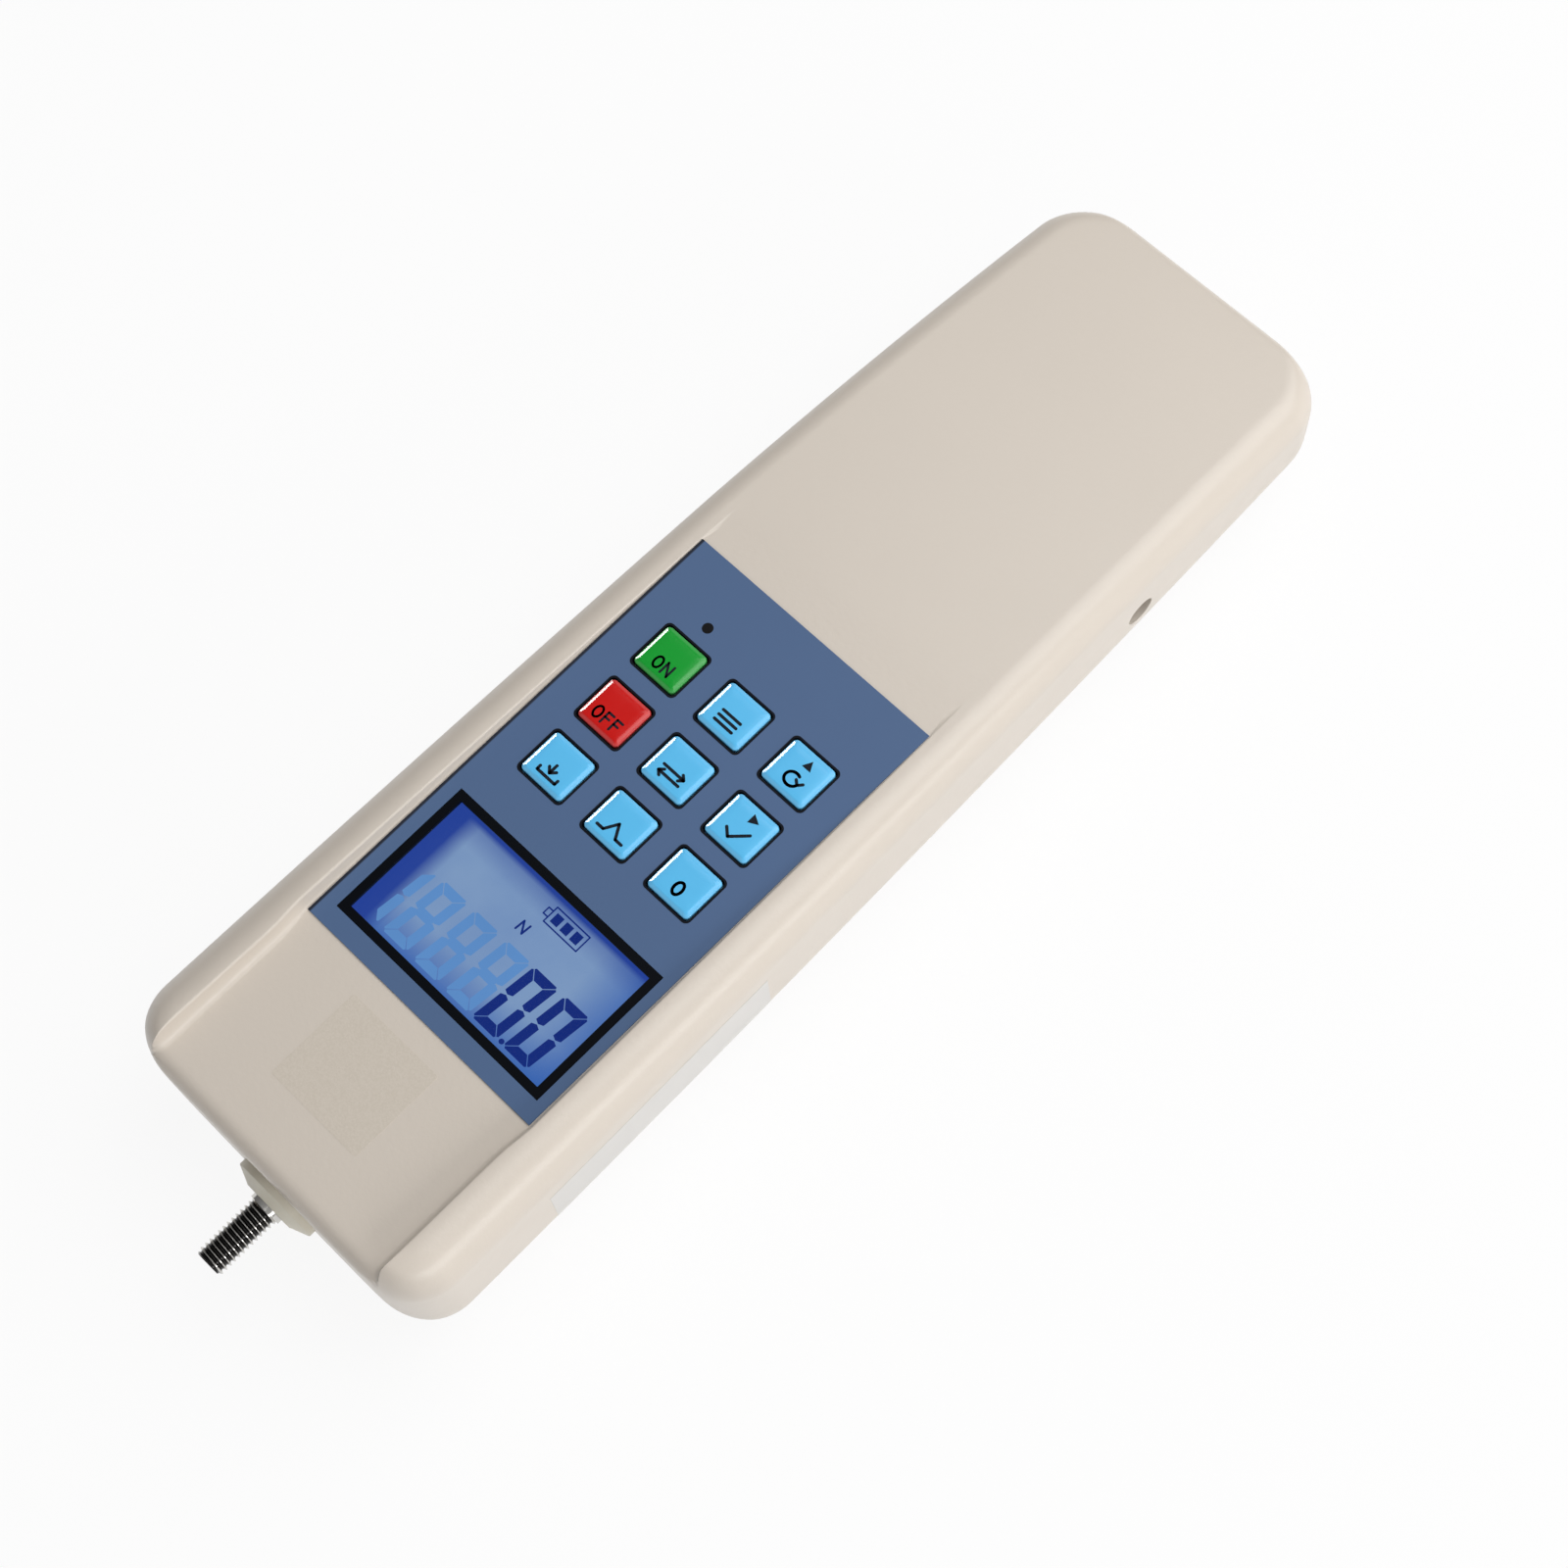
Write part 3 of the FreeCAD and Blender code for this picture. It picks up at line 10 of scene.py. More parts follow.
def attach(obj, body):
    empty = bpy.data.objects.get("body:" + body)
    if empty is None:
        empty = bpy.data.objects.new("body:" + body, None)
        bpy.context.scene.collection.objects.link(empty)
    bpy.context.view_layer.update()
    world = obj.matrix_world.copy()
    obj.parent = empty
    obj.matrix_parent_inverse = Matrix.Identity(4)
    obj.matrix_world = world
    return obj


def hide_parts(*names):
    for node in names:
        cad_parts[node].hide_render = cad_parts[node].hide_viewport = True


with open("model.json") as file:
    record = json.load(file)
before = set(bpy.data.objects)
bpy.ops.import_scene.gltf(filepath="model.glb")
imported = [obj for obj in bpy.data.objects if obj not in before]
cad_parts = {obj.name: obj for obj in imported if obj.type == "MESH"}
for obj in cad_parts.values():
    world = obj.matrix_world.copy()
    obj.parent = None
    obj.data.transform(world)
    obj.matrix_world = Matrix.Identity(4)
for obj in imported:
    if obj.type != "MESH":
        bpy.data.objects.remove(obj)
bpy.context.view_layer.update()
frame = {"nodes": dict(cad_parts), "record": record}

MM = 0.001
STAND_MIDDLE = 80.0


def place(x, y, z):
    """A point in metres from millimetres measured from the housing's near end."""
    return Vector((x * MM, (y - STAND_MIDDLE) * MM, z * MM))


# Sizes in millimetres, those of the part's source, with y measured from the housing's near end

LENGTH = 232.0
WIDTHS = (37.2, 35.6, 32.1)  # half widths at the near end, the middle and the far end
CORNER = 10.5  # rounding of the upright corners
TOP_ROUNDING = (4.5, 2.0)  # rounding of the top at the near and the far end
BACK_ROUNDING = (6.0, 10.0)  # the same for the underside
TOP_ARC = (8.2, 5.6)  # radius between wall and top at the near end and from the rails' end on
BACK_ARC = 13.0  # radius between wall and underside
WIDEST = 27.6  # height at which the leaning wall has its full width
LEAN = math.radians(4.5)
FLOOR = 32.5
CREST = 36.0
RAIL_END = 140.0
FAR_TOP = 25.8
WALL = 2.5
CHANNEL = 28.0  # half width of the channel between the rails
NOSE = 3.5  # rounding of the rails' inner edge at the near end
NOSE_DROP = 3.0  # rounding of the channel's floor at the near end
SHARPENS_FROM, SHARPENS_OVER, SOFTENS_OVER = 30.0, 6.0, 4.0  # before the panel and past it
NARROWER = 0.2  # how much narrower each half of the channel is before the panel
SOFT_FILLET, FILLET_CHANGE = 0.9, 0.84  # the rails' foot, and how much sharper it is beside the panel
SOFT_LEAN, LEAN_CHANGE = 0.3, 0.15  # the rails' inner edge leans out by this share of its height
SEAM_BELOW = 4.9
PANEL_NEAR, PANEL_FAR = 36.5, 131.6
PANEL_TOP = 32.8
PANEL_SHADE_EDGE = (-27.45, -27.2)  # the painted shade along the panel's left edge, in the gap beside the left rail, fades out over these places

DISPLAY = (0.55, 55.05)
DISPLAY_VIEW, DISPLAY_SEAT = (49.5, 28.5), (50.5, 29.5)  # the openings under and around the bezel
SEAT_FLOOR = 31.2
GLASS_SIZE, GLASS_THICKNESS = (52.0, 31.0), 2.8
GLASS_TOP = 27.8
DIGIT_BASE = 43.3
LIT_DIGITS, UNLIT_DIGITS, UNLIT_ONE = (5.0, 12.7), (-17.9, -9.9, -1.9), -25.6
LAMP_DOT, LAMP_BORE = (-14.8, 120), 1.65
PATCH_SIZE, PATCH_PLACE = (21.4, 19.1), (-0.1, 22.2)
LABEL_Y, LABEL_Z = (31.0, 83.0), (7.0, 23.5)

SOCKET_Y, SOCKET_Z, SOCKET_RADIUS = 179.0, 15.6, 3.0
CLOSING_SCREWS = ((24.0, 33.5), (24.0, 138.0), (20.0, 206.0))
BOSS_RADIUS, BOSS_START, BOSS_TOP = 3.5, 2.2, 9.0
WELL_RADIUS, WELL_TOP = 2.925, 8.0
STANDOFF_X, STANDOFF_ROWS = 15.0, (50.0, 110.0)
STANDOFF_RADIUS, STANDOFF_TOP = 4.1, 4.0

SHAFT_Z = 16.1
SHAFT_BORE = 5.5
THREAD_CREST, THREAD_ROOT = 2.95, 2.36
THREAD_SHADE = (2.42, 2.85)  # radii between which the painted shade in a thread's root gives way to bright steel
THREAD_FLANK = (0.24, 0.62)  # where a flank starts and how wide it is, as shares of half a turn
RUNOUT_START, RUNOUT = -4.3, 0.6  # the thread's root rises to full size over this run
SHAFT_TIP, THREAD_END = -16.7, -3.7
TIP_RADIUS, NECK_RADIUS, SHOULDER_RADIUS = 2.35, 3.3, 4.0
SHOULDER_START, SHOULDER_END, SHAFT_END = 1.5, 9.6, 23.0

KEY_SIZE = (9.9, 9.1)
KEY_FLANGE = (11.8, 11.0)
KEY_OPENING = (10.8, 10.0)
KEY_CORNER = 0.9
KEY_TOP = 33.4
FLANGE_BOTTOM, FLANGE_TOP = 28.7, 29.9
LINER_INNER, LINER_WALL, LINER_RIM = (10.45, 9.65), (10.76, 9.96), (11.2, 10.4)
LINER_BOTTOM = 30.2
KEY_COLUMNS = (-15.2, 0.6, 16.4)
KEY_ROWS = (84.0, 97.65, 111.3)
KEY_NAMES = (("save", "peak", "zero"), ("off", "unit", "check"), ("on", "set", "rotate"))
KEYS = {name: (x, y) for y, row in zip(KEY_ROWS, KEY_NAMES) for x, name in zip(KEY_COLUMNS, row)}


# Camera, solved from the photograph

camera = bpy.data.objects.new("view_camera", bpy.data.cameras.new("view_camera"))
bpy.context.scene.collection.objects.link(camera)
camera.data.lens = 76.5
camera.data.sensor_width = 36.0
camera.data.clip_start = 0.01
camera.data.clip_end = 20.0
turn = Matrix((
    (0.70273334, -0.6284543, 0.33348319),
    (0.70458558, 0.67973138, -0.20377541),
    (-0.09861546, 0.37816722, 0.92046974),
)).to_4x4()
camera.matrix_world = Matrix.Translation(place(205.73, -7.68, 556.87)) @ turn
bpy.context.scene.camera = camera
bpy.context.scene.view_settings.view_transform = "Standard"


# Materials


def linear(r, g, b):
    """A colour written in 0 to 255 as linear light."""
    out = []
    for c in (r, g, b):
        c /= 255.0
        out.append(c / 12.92 if c <= 0.04045 else ((c + 0.055) / 1.055) ** 2.4)
    return (*out, 1.0)


class Look:
    """A procedural material with its shader and helpers for the nodes in front of it."""

    def __init__(self, name, colour, rough=0.5, metal=0.0, **values):
        self.material = bpy.data.materials.new(name)
        self.material.use_nodes = True
        self.tree = self.material.node_tree
        self.shader = self.tree.nodes["Principled BSDF"]
        self.set("Base Color", colour)
        self.set("Roughness", rough)
        self.set("Metallic", metal)
        for key, value in values.items():
            self.set(key.replace("_", " "), value)

    def set(self, socket, value):
        self.shader.inputs[socket].default_value = value

    def node(self, kind, **props):
        made = self.tree.nodes.new(kind)
        for key, value in props.items():
            setattr(made, key, value)
        return made

    def join(self, out, into):
        self.tree.links.new(out, into)

    def feed(self, out, socket):
        """Joins a value to a socket of the shader itself."""
        self.join(out, self.shader.inputs[socket])

    def fed(self, socket):
        """What is joined to a socket of the shader so far."""
        return self.shader.inputs[socket].links[0].from_socket

    def split(self, vector):
        """The X, Y and Z outputs of a vector."""
        made = self.node("ShaderNodeSeparateXYZ")
        self.join(vector, made.inputs[0])
        return made.outputs

    def arithmetic(self, operation, one, two):
        """One number worked out from a socket and a second socket or plain number."""
        made = self.node("ShaderNodeMath", operation=operation)
        self.join(one, made.inputs[0])
        if isinstance(two, bpy.types.NodeSocket):
            self.join(two, made.inputs[1])
        else:
            made.inputs[1].default_value = two
        return made.outputs[0]

    def vector_step(self, operation, vector, by=None):
        """The outputs of one step of vector arithmetic."""
        made = self.node("ShaderNodeVectorMath", operation=operation)
        self.join(vector, made.inputs[0])
        if by:
            made.inputs[1].default_value = by
        return made.outputs

    def position(self):
        return self.node("ShaderNodeTexCoord").outputs["Object"]

    def noise(self, scale, detail=2.0, rough=0.5, vector=None):
        made = self.node("ShaderNodeTexNoise")
        made.inputs["Scale"].default_value = scale
        made.inputs["Detail"].default_value = detail
        made.inputs["Roughness"].default_value = rough
        self.join(vector or self.position(), made.inputs["Vector"])
        return made.outputs["Fac"]

    def ramp(self, value, low, high, start=0.0, end=1.0):
        made = self.node("ShaderNodeMapRange")
        made.inputs["From Min"].default_value = low
        made.inputs["From Max"].default_value = high
        made.inputs["To Min"].default_value = start
        made.inputs["To Max"].default_value = end
        self.join(value, made.inputs["Value"])
        return made.outputs["Result"]

    def blend_colours(self, factor, one, two):
        made = self.node("ShaderNodeMix", data_type="RGBA")
        self.join(factor, made.inputs["Factor"])
        for value, socket in ((one, made.inputs["A"]), (two, made.inputs["B"])):
            if isinstance(value, bpy.types.NodeSocket):
                self.join(value, socket)
            else:
                socket.default_value = value
        return made.outputs["Result"]

    def bump(self, height, strength, distance):
        made = self.node("ShaderNodeBump")
        made.inputs["Strength"].default_value = strength
        made.inputs["Distance"].default_value = distance
        self.join(height, made.inputs["Height"])
        self.feed(made.outputs["Normal"], "Normal")


def moulded(name, colour, rough, grain=0.0, grain_scale=2200.0, tint=0.03, **values):
    """Moulded plastic: a slight uneven tint, an uneven gloss and a fine grain."""
    look = Look(name, colour, rough, **values)
    cloud = look.noise(30.0, 3.0)
    darker = tuple(c * (1 - tint) for c in colour[:3]) + (1.0,)
    look.feed(look.blend_colours(look.ramp(cloud, 0.3, 0.7), colour, darker), "Base Color")
    look.feed(look.ramp(look.noise(180.0), 0.3, 0.7, rough - 0.02, rough + 0.02), "Roughness")
    if grain:
        look.bump(look.noise(grain_scale, 3.0, 0.6), grain, 0.0001)
    return look


def turned_metal(name, colour, rough, stretch=(1.0, 60.0, 1.0), **values):
    """Machined metal with fine tool marks."""
    look = Look(name, colour, rough, 1.0, **values)
    mapping = look.node("ShaderNodeMapping")
    mapping.inputs["Scale"].default_value = stretch
    look.join(look.position(), mapping.inputs["Vector"])
    marks = look.noise(160.0, 3.0, 0.6, mapping.outputs["Vector"])
    look.feed(look.ramp(marks, 0.3, 0.7, rough - 0.08, rough + 0.1), "Roughness")
    look.bump(marks, 0.15, 0.00004)
    return look


def speckled(name, one, two, rough):
    """A clear film that shows as fine specks on what it covers."""
    look = Look(name, one, rough)
    specks = look.ramp(look.noise(2600.0, 2.0, 0.6), 0.35, 0.65)
    look.feed(look.blend_colours(specks, one, two), "Base Color")
    look.bump(specks, 0.2, 0.00004)
    return look


def threaded_steel():
    """Bright turned steel with painted shade in the thread roots."""
    look = turned_metal("shaft_steel", linear(196, 194, 190), 0.16)
    from_axis = look.vector_step("SUBTRACT", look.position(), (0.0, 0.0, SHAFT_Z * MM))[0]
    across = look.vector_step("MULTIPLY", from_axis, (1.0, 0.0, 1.0))[0]
    radius = look.vector_step("LENGTH", across)["Value"]
    # painted shade: the steel's colour darkens towards the thread's root
    share = look.ramp(radius, *(r * MM for r in THREAD_SHADE))
    look.feed(look.blend_colours(share, linear(48, 47, 47), linear(204, 202, 198)), "Base Color")
    return look


def key_look(name, colour):
    """Glossy key plastic whose bevels are painted a little paler all round, a painted highlight."""
    look = moulded(name, colour, 0.18, Specular_IOR_Level=0.4)
    facing = look.split(look.node("ShaderNodeTexCoord").outputs["Normal"])
    # painted highlight: where the normal tilts away from the key's top, the colour is mixed a little towards
    # white
    share = look.ramp(facing["Z"], 0.95, 0.9, 0.0, 0.06)
    look.feed(look.blend_colours(share, look.fed("Base Color"), (0.9, 0.92, 0.92, 1.0)), "Base Color")
    return look


def glowing(name, colour):
    """Part of a lit display: its colour comes from behind."""
    look = Look(name, (0.0, 0.0, 0.0, 1.0), 0.5, Specular_IOR_Level=0.1, Emission_Strength=1.0)
    cloud = look.ramp(look.noise(120.0, 2.0), 0.3, 0.7)
    paler = tuple(c * 1.06 for c in colour[:3]) + (1.0,)
    look.feed(look.blend_colours(cloud, colour, paler), "Emission Color")
    return look


def display_look():
    """The lit face of the display: pale in the middle, deep blue at the edges the light doesn't reach."""
    look = Look("display_lit", (0.0, 0.0, 0.0, 1.0), 0.5, Specular_IOR_Level=0.1, Emission_Strength=1.0)
    sides = look.split(look.position())
    offset = {"X": 0.0, "Y": STAND_MIDDLE}

    def lit_share(*edges):
        """How much light reaches a place: each edge has an axis, two places on it and their shares."""
        share = None
        for axis, low, high, start, end in edges:
            low, high = low - offset[axis], high - offset[axis]
            part = look.ramp(sides[axis], low * MM, high * MM, start, end)
            share = look.arithmetic("MULTIPLY", share, part) if share else part
        return share

    left = ("X", -21.9, -18.6, 0.0, 1.0)
    left_far = lit_share(left, ("Y", 68.2, 67.2, 0.0, 1.0), ("Y", 67.2, 63.5, 0.6, 1.0))
    right_near = lit_share(("X", 24.2, 14.0, 0.12, 1.0), ("Y", 42.0, 49.5, 0.1, 1.0))
    cloud = look.ramp(look.noise(90.0, 3.0), 0.3, 0.7)
    pale = look.blend_colours(cloud, linear(116, 146, 190), linear(126, 155, 194))
    pale = look.blend_colours(right_near, linear(48, 96, 176), pale)
    look.feed(look.blend_colours(left_far, linear(38, 66, 152), pale), "Emission Color")
    return look


LOOKS = {
    "housing_plastic": moulded(
        "housing_plastic", linear(216, 206, 194), 0.33, grain=0.35, grain_scale=900.0, tint=0.012,
        Specular_IOR_Level=0.6,
    ),
    "collar_plastic": moulded("collar_plastic", linear(226, 220, 203), 0.45, grain=0.2),
    "panel_sheet": moulded("panel_sheet", linear(79, 105, 144), 0.5, grain=0.08, Specular_IOR_Level=0.35),
    "bezel_plastic": moulded("bezel_plastic", linear(3, 6, 13), 0.35, tint=0.02, Specular_IOR_Level=0.1),
    "window_clear": Look("window_clear", linear(20, 30, 50), 0.05, Alpha=0.02, Specular_IOR_Level=0.5),
    "foam_rubber": moulded("foam_rubber", linear(22, 26, 36), 0.8, grain=0.4, grain_scale=900.0),
    "lcd_cell": moulded("lcd_cell", linear(44, 75, 146), 0.35),
    "light_guide": moulded("light_guide", linear(232, 236, 240), 0.3),
    "frame_plastic": moulded("frame_plastic", linear(28, 28, 30), 0.5),
    "lamp_dark": moulded("lamp_dark", linear(6, 6, 9), 0.3, Specular_IOR_Level=0.2),
    "lamp_body": moulded("lamp_body", linear(190, 60, 50), 0.15),
    "board_green": moulded("board_green", linear(22, 84, 52), 0.35),
    "component_black": moulded("component_black", linear(26, 26, 28), 0.5),
    "buzzer_plastic": moulded("buzzer_plastic", linear(20, 20, 22), 0.5),
    "switch_plastic": moulded("switch_plastic", linear(30, 30, 32), 0.5),
    "socket_plastic": moulded("socket_plastic", linear(18, 18, 20), 0.4),
    "plunger_plastic": moulded("plunger_plastic", linear(225, 225, 225), 0.4),
    "gauge_foil": moulded("gauge_foil", linear(176, 112, 48), 0.4),
    "cell_wrap": moulded("cell_wrap", linear(70, 108, 150), 0.35),
    "zinc_steel": turned_metal("zinc_steel", linear(190, 190, 192), 0.32),
    "shaft_steel": threaded_steel(),
    "nut_steel": turned_metal("nut_steel", linear(185, 184, 182), 0.3),
    "bush_brass": turned_metal("bush_brass", linear(206, 172, 104), 0.3),
    "standoff_brass": turned_metal("standoff_brass", linear(206, 172, 104), 0.3),
    "beam_aluminium": turned_metal("beam_aluminium", linear(206, 208, 210), 0.35, (60.0, 1.0, 1.0)),
    "plate_aluminium": turned_metal("plate_aluminium", linear(198, 200, 203), 0.4, (60.0, 1.0, 1.0)),
    "clamp_steel": turned_metal("clamp_steel", linear(190, 190, 192), 0.35, (1.0, 60.0, 1.0)),
    "bolt_black": turned_metal("bolt_black", linear(60, 60, 62), 0.4),
    "key_green": key_look("key_green", linear(10, 160, 48)),
    "key_red": key_look("key_red", linear(208, 14, 8)),
    "key_blue": key_look("key_blue", linear(97, 198, 250)),
    "ink": moulded("ink", linear(14, 22, 34), 0.6, Specular_IOR_Level=0.2),
    "display_ink": glowing("display_ink", linear(14, 40, 120)),
    "display_ghost": glowing("display_ghost", linear(90, 138, 196)),
    "display_lit": display_look(),
    "clear_film": speckled("clear_film", linear(214, 204, 191), linear(208, 198, 184), 0.4),
    "gap_shade_black": moulded("gap_shade_black", linear(7, 12, 22), 0.5, Specular_IOR_Level=0.15),
    "label_film": moulded("label_film", linear(217, 214, 210), 0.35),
}


def panel_gap_shade(look):
    """The left edge of the panel sheet gets a thin dark line: painted shade for the gap between the panel
    and the left rail.
    """
    share = look.ramp(look.split(look.position())["X"], *(x * MM for x in PANEL_SHADE_EDGE))
    # painted shade: the panel's colour turns dark towards its left edge
    look.feed(look.blend_colours(share, linear(22, 30, 46), look.fed("Base Color")), "Base Color")


panel_gap_shade(LOOKS["panel_sheet"])
for material_name, look in LOOKS.items():
    look.material.name = "look_" + material_name

slot_of = {s["node"]: s["material_slot"] for s in frame["record"]["subparts"]}
for node_name, obj in frame["nodes"].items():
    obj.data.materials.clear()
    obj.data.materials.append(LOOKS[slot_of[node_name]].material)


# Housing skins, with the same form as the solids but finely divided


def half_width(y):
    """Half the housing's width at a place along it, as a curve through the three given ones."""
    u = y / LENGTH
    near, middle, far = WIDTHS
    return near * (1 - u) * (1 - 2 * u) + 4 * middle * u * (1 - u) + far * u * (2 * u - 1)


def top_height(y, crest):
    """Height of a line that starts at the crest and bends down beyond the rails."""
    slope = (crest - FLOOR) / RAIL_END
    beyond = max(0.0, y - RAIL_END)
    run = LENGTH - RAIL_END
    bend = (FLOOR - FAR_TOP - slope * run) / run ** 2
    return FLOOR + slope * (RAIL_END - y) - bend * beyond ** 2


def drawn_in(radius, distance):
    """How far a rounded edge draws a surface in at a distance from the end."""
    return 0.0 if distance >= radius else radius - math.sqrt(radius ** 2 - (radius - distance) ** 2)


def resampled(points, count):
    """The same line with evenly spaced points."""
    points = np.array(points, float)
    steps = np.hypot(*np.diff(points, axis=0).T)
    along = np.concatenate([[0.0], np.cumsum(steps)])
    at = np.linspace(0.0, along[-1], count)
    return np.stack([np.interp(at, along, points[:, i]) for i in (0, 1)], axis=1)


def side_line(y, inset, crest):
    """The right half of the section as x and z, with the centre, radius and height of its top arc."""
    from_near = y - inset
    from_far = LENGTH - inset - y
    near_end = from_near < from_far
    end = max(0.0, min(from_near, from_far))
    width = half_width(y) - inset - drawn_in(CORNER - inset, end)
    which = 0 if near_end else 1
    top = top_height(y, crest) - inset - drawn_in(max(0.5, TOP_ROUNDING[which] - inset), end)
    back = inset + drawn_in(BACK_ROUNDING[which] - inset, end)
    top_radius = TOP_ARC[0] + (TOP_ARC[1] - TOP_ARC[0]) * min(1.0, y / RAIL_END) - inset
    back_radius = min(BACK_ARC - inset, top - back - top_radius - 1.0)

    def centre(z, radius):
        touch = z - radius * math.sin(LEAN)
        return width - (WIDEST - touch) * math.tan(LEAN) - radius * math.cos(LEAN), z

    low = centre(back + back_radius, back_radius)
    high = centre(top - top_radius, top_radius)
    line = [(0.0, back)]
    quarter = math.pi / 2
    for c, radius, start, stop in ((low, back_radius, -quarter, -LEAN), (high, top_radius, -LEAN, quarter)):
        for a in np.linspace(start, stop, 49):
            line.append((c[0] + radius * math.cos(a), c[1] + radius * math.sin(a)))
    return line, high, top_radius, top


def split_at(line, seam):
    """The line up to the seam and the line from the seam on."""
    for i in range(1, len(line)):
        if line[i][1] > seam:
            (x0, z0), (x1, z1) = line[i - 1], line[i]
            share = (seam - z0) / (z1 - z0)
            at = (x0 + (x1 - x0) * share, seam)
            return line[:i] + [at], [at] + line[i:]
    raise ValueError("the seam lies above the section")


def rail_edge(y, top):
    """Height over the channel as a function of x, and where the rail's inner edge starts and ends."""
    floor = FLOOR - drawn_in(NOSE_DROP, y)
    height = max(0.0, top - floor)
    near_panel = min(1.0, max(0.0, (y - SHARPENS_FROM) / SHARPENS_OVER))
    past_panel = min(1.0, max(0.0, (y - PANEL_FAR) / SOFTENS_OVER))
    beside_panel = near_panel - past_panel
    foot_x = CHANNEL - NARROWER * (1.0 - near_panel) + drawn_in(NOSE, y)
    fillet = SOFT_FILLET - FILLET_CHANGE * beside_panel
    lean = SOFT_LEAN + LEAN_CHANGE * beside_panel
    outer = 0.45 if height > 0.5 else 0.3 + height * 0.3
    corner_x = foot_x + height * lean
    high = (corner_x - height * lean * 0.1, floor + height * 0.8)
    low = (foot_x + height * lean * 0.3, floor)

    def rounded(a, b, c):
        t = np.linspace(0.0, 1.0, 24)[:, None]
        a, b, c = (np.array(q, float) for q in (a, b, c))
        return (1 - t) ** 2 * a + 2 * t * (1 - t) * b + t ** 2 * c

    upper = rounded((corner_x + outer, top), (corner_x, top), high)
    lower = rounded(high, low, (foot_x - fillet, floor))
    line = np.concatenate([upper, lower[1:]])[::-1]

    def level(x):
        if y >= RAIL_END:
            return top
        return float(np.interp(x, line[:, 0], line[:, 1]))

    return level, corner_x + outer, foot_x - fillet


def half_rings(y, inset, crest, channel):
    """Right halves of the back housing's and the cover's section at a place along the housing."""
    line, arc, radius, top = side_line(y, inset, crest)
    seam = top_height(y, FLOOR) - SEAM_BELOW
    below, above = split_at(line, seam)
    back = resampled(below, 90)
    widest = arc[0] + radius
    seam_x = above[0][0] if seam > arc[1] else widest
    if channel:
        level, start, stop = rail_edge(y, top)
    else:
        level, start, stop = (lambda x: top), CHANNEL, CHANNEL - 2.0
    start = min(start, seam_x - 0.3)
    stop = min(stop, start - 0.3)

    def outer(x):
        over = x - arc[0]
        return top if over <= 0 else arc[1] + math.sqrt(max(0.0, radius ** 2 - over ** 2))

    passed = [q for q in above if q[0] > start]
    side = resampled(passed + [(start, outer(start))], 40)
    edge = [stop + (start - stop) * s for s in np.linspace(1.0, 0.0, 23)[1:]]
    inside = [stop * (1 - s ** 1.6) for s in np.linspace(0.0, 1.0, 18)[1:-1]]
    rest = [(x, min(outer(x), level(x))) for x in edge + inside + [0.0]]
    return back, np.concatenate([side, rest])


def stations(inset):
    """Places of the sections along the housing, close together where it is rounded."""
    radius = CORNER - inset
    ends = [radius * (1 - math.cos(math.pi / 2 * i / 16)) for i in range(17)]
    near = [inset + d for d in ends]
    far = [LENGTH - inset - d for d in reversed(ends)]
    middle = list(np.linspace(near[-1], PANEL_NEAR, 10)[1:])
    middle += list(np.linspace(PANEL_NEAR, PANEL_FAR, 20)[1:])
    middle += list(np.linspace(PANEL_FAR, RAIL_END, 5)[1:])
    return near + middle + list(np.linspace(RAIL_END, far[0], 26)[1:-1]) + far


def shell_mesh(name, which):
    """A closed shell, outside and inside, for the back housing (0) or the cover (1)."""
    rings = []
    for inset, crest in ((0.0, CREST), (WALL, FLOOR)):
        for y in stations(inset):
            half = half_rings(y, inset, crest, inset == 0.0)[which]
            right = [place(x, y, z) for x, z in half]
            left = [place(-x, y, z) for x, z in half if abs(x) > 1e-6]
            if which:
                rings.append(right + list(reversed(left)))
            else:
                rings.append(list(reversed(left)) + right)
    count = len(rings) // 2
    size = len(rings[0])
    if any(len(r) != size for r in rings):
        raise ValueError("sections differ in length: " + str(sorted({len(r) for r in rings})))
    faces = []

    def at(layer, row, column):
        return (layer * count + row) * size + column

    for row in range(count - 1):
        for column in range(size - 1):
            for layer in (0, 1):
                quad = [at(layer, row, column), at(layer, row, column + 1)]
                quad += [at(layer, row + 1, column + 1), at(layer, row + 1, column)]
                faces.append(quad)
        for column in (0, size - 1):
            quad = [at(0, row, column), at(0, row + 1, column)]
            quad += [at(1, row + 1, column), at(1, row, column)]
            faces.append(quad)
    for row in (0, count - 1):
        for layer in (0, 1):
            faces.append([at(layer, row, c) for c in range(size)])
        faces.append([at(0, row, 0), at(1, row, 0), at(1, row, size - 1), at(0, row, size - 1)])
    return mesh_object(name, [v for ring in rings for v in ring], faces)


def mesh_object(name, verts, faces):
    """A new object from points in metres, with doubles merged and faces turned outwards."""
    mesh = bpy.data.meshes.new(name)
    mesh.from_pydata([tuple(v) for v in verts], [], faces)
    work = bmesh.new()
    work.from_mesh(mesh)
    bmesh.ops.remove_doubles(work, verts=work.verts, dist=1e-7)
    bmesh.ops.dissolve_degenerate(work, edges=work.edges, dist=1e-7)
    bmesh.ops.recalc_face_normals(work, faces=work.faces)
    work.to_mesh(mesh)
    work.free()
    obj = bpy.data.objects.new(name, mesh)
    bpy.context.scene.collection.objects.link(obj)
    return obj


def lathe(name, profile, sides=128):
    """A closed turned piece on the shaft's axis from pairs of radius and place along it."""
    verts, faces = [], []
    for radius, y in profile:
        for i in range(sides):
            a = 2 * math.pi * i / sides
            verts.append(place(radius * math.cos(a), y, SHAFT_Z + radius * math.sin(a)))
    count = len(profile)
    for row in range(count):
        after = (row + 1) % count
        for i in range(sides):
            j = (i + 1) % sides
            faces.append([row * sides + i, row * sides + j, after * sides + j, after * sides + i])
    return mesh_object(name, verts, faces)


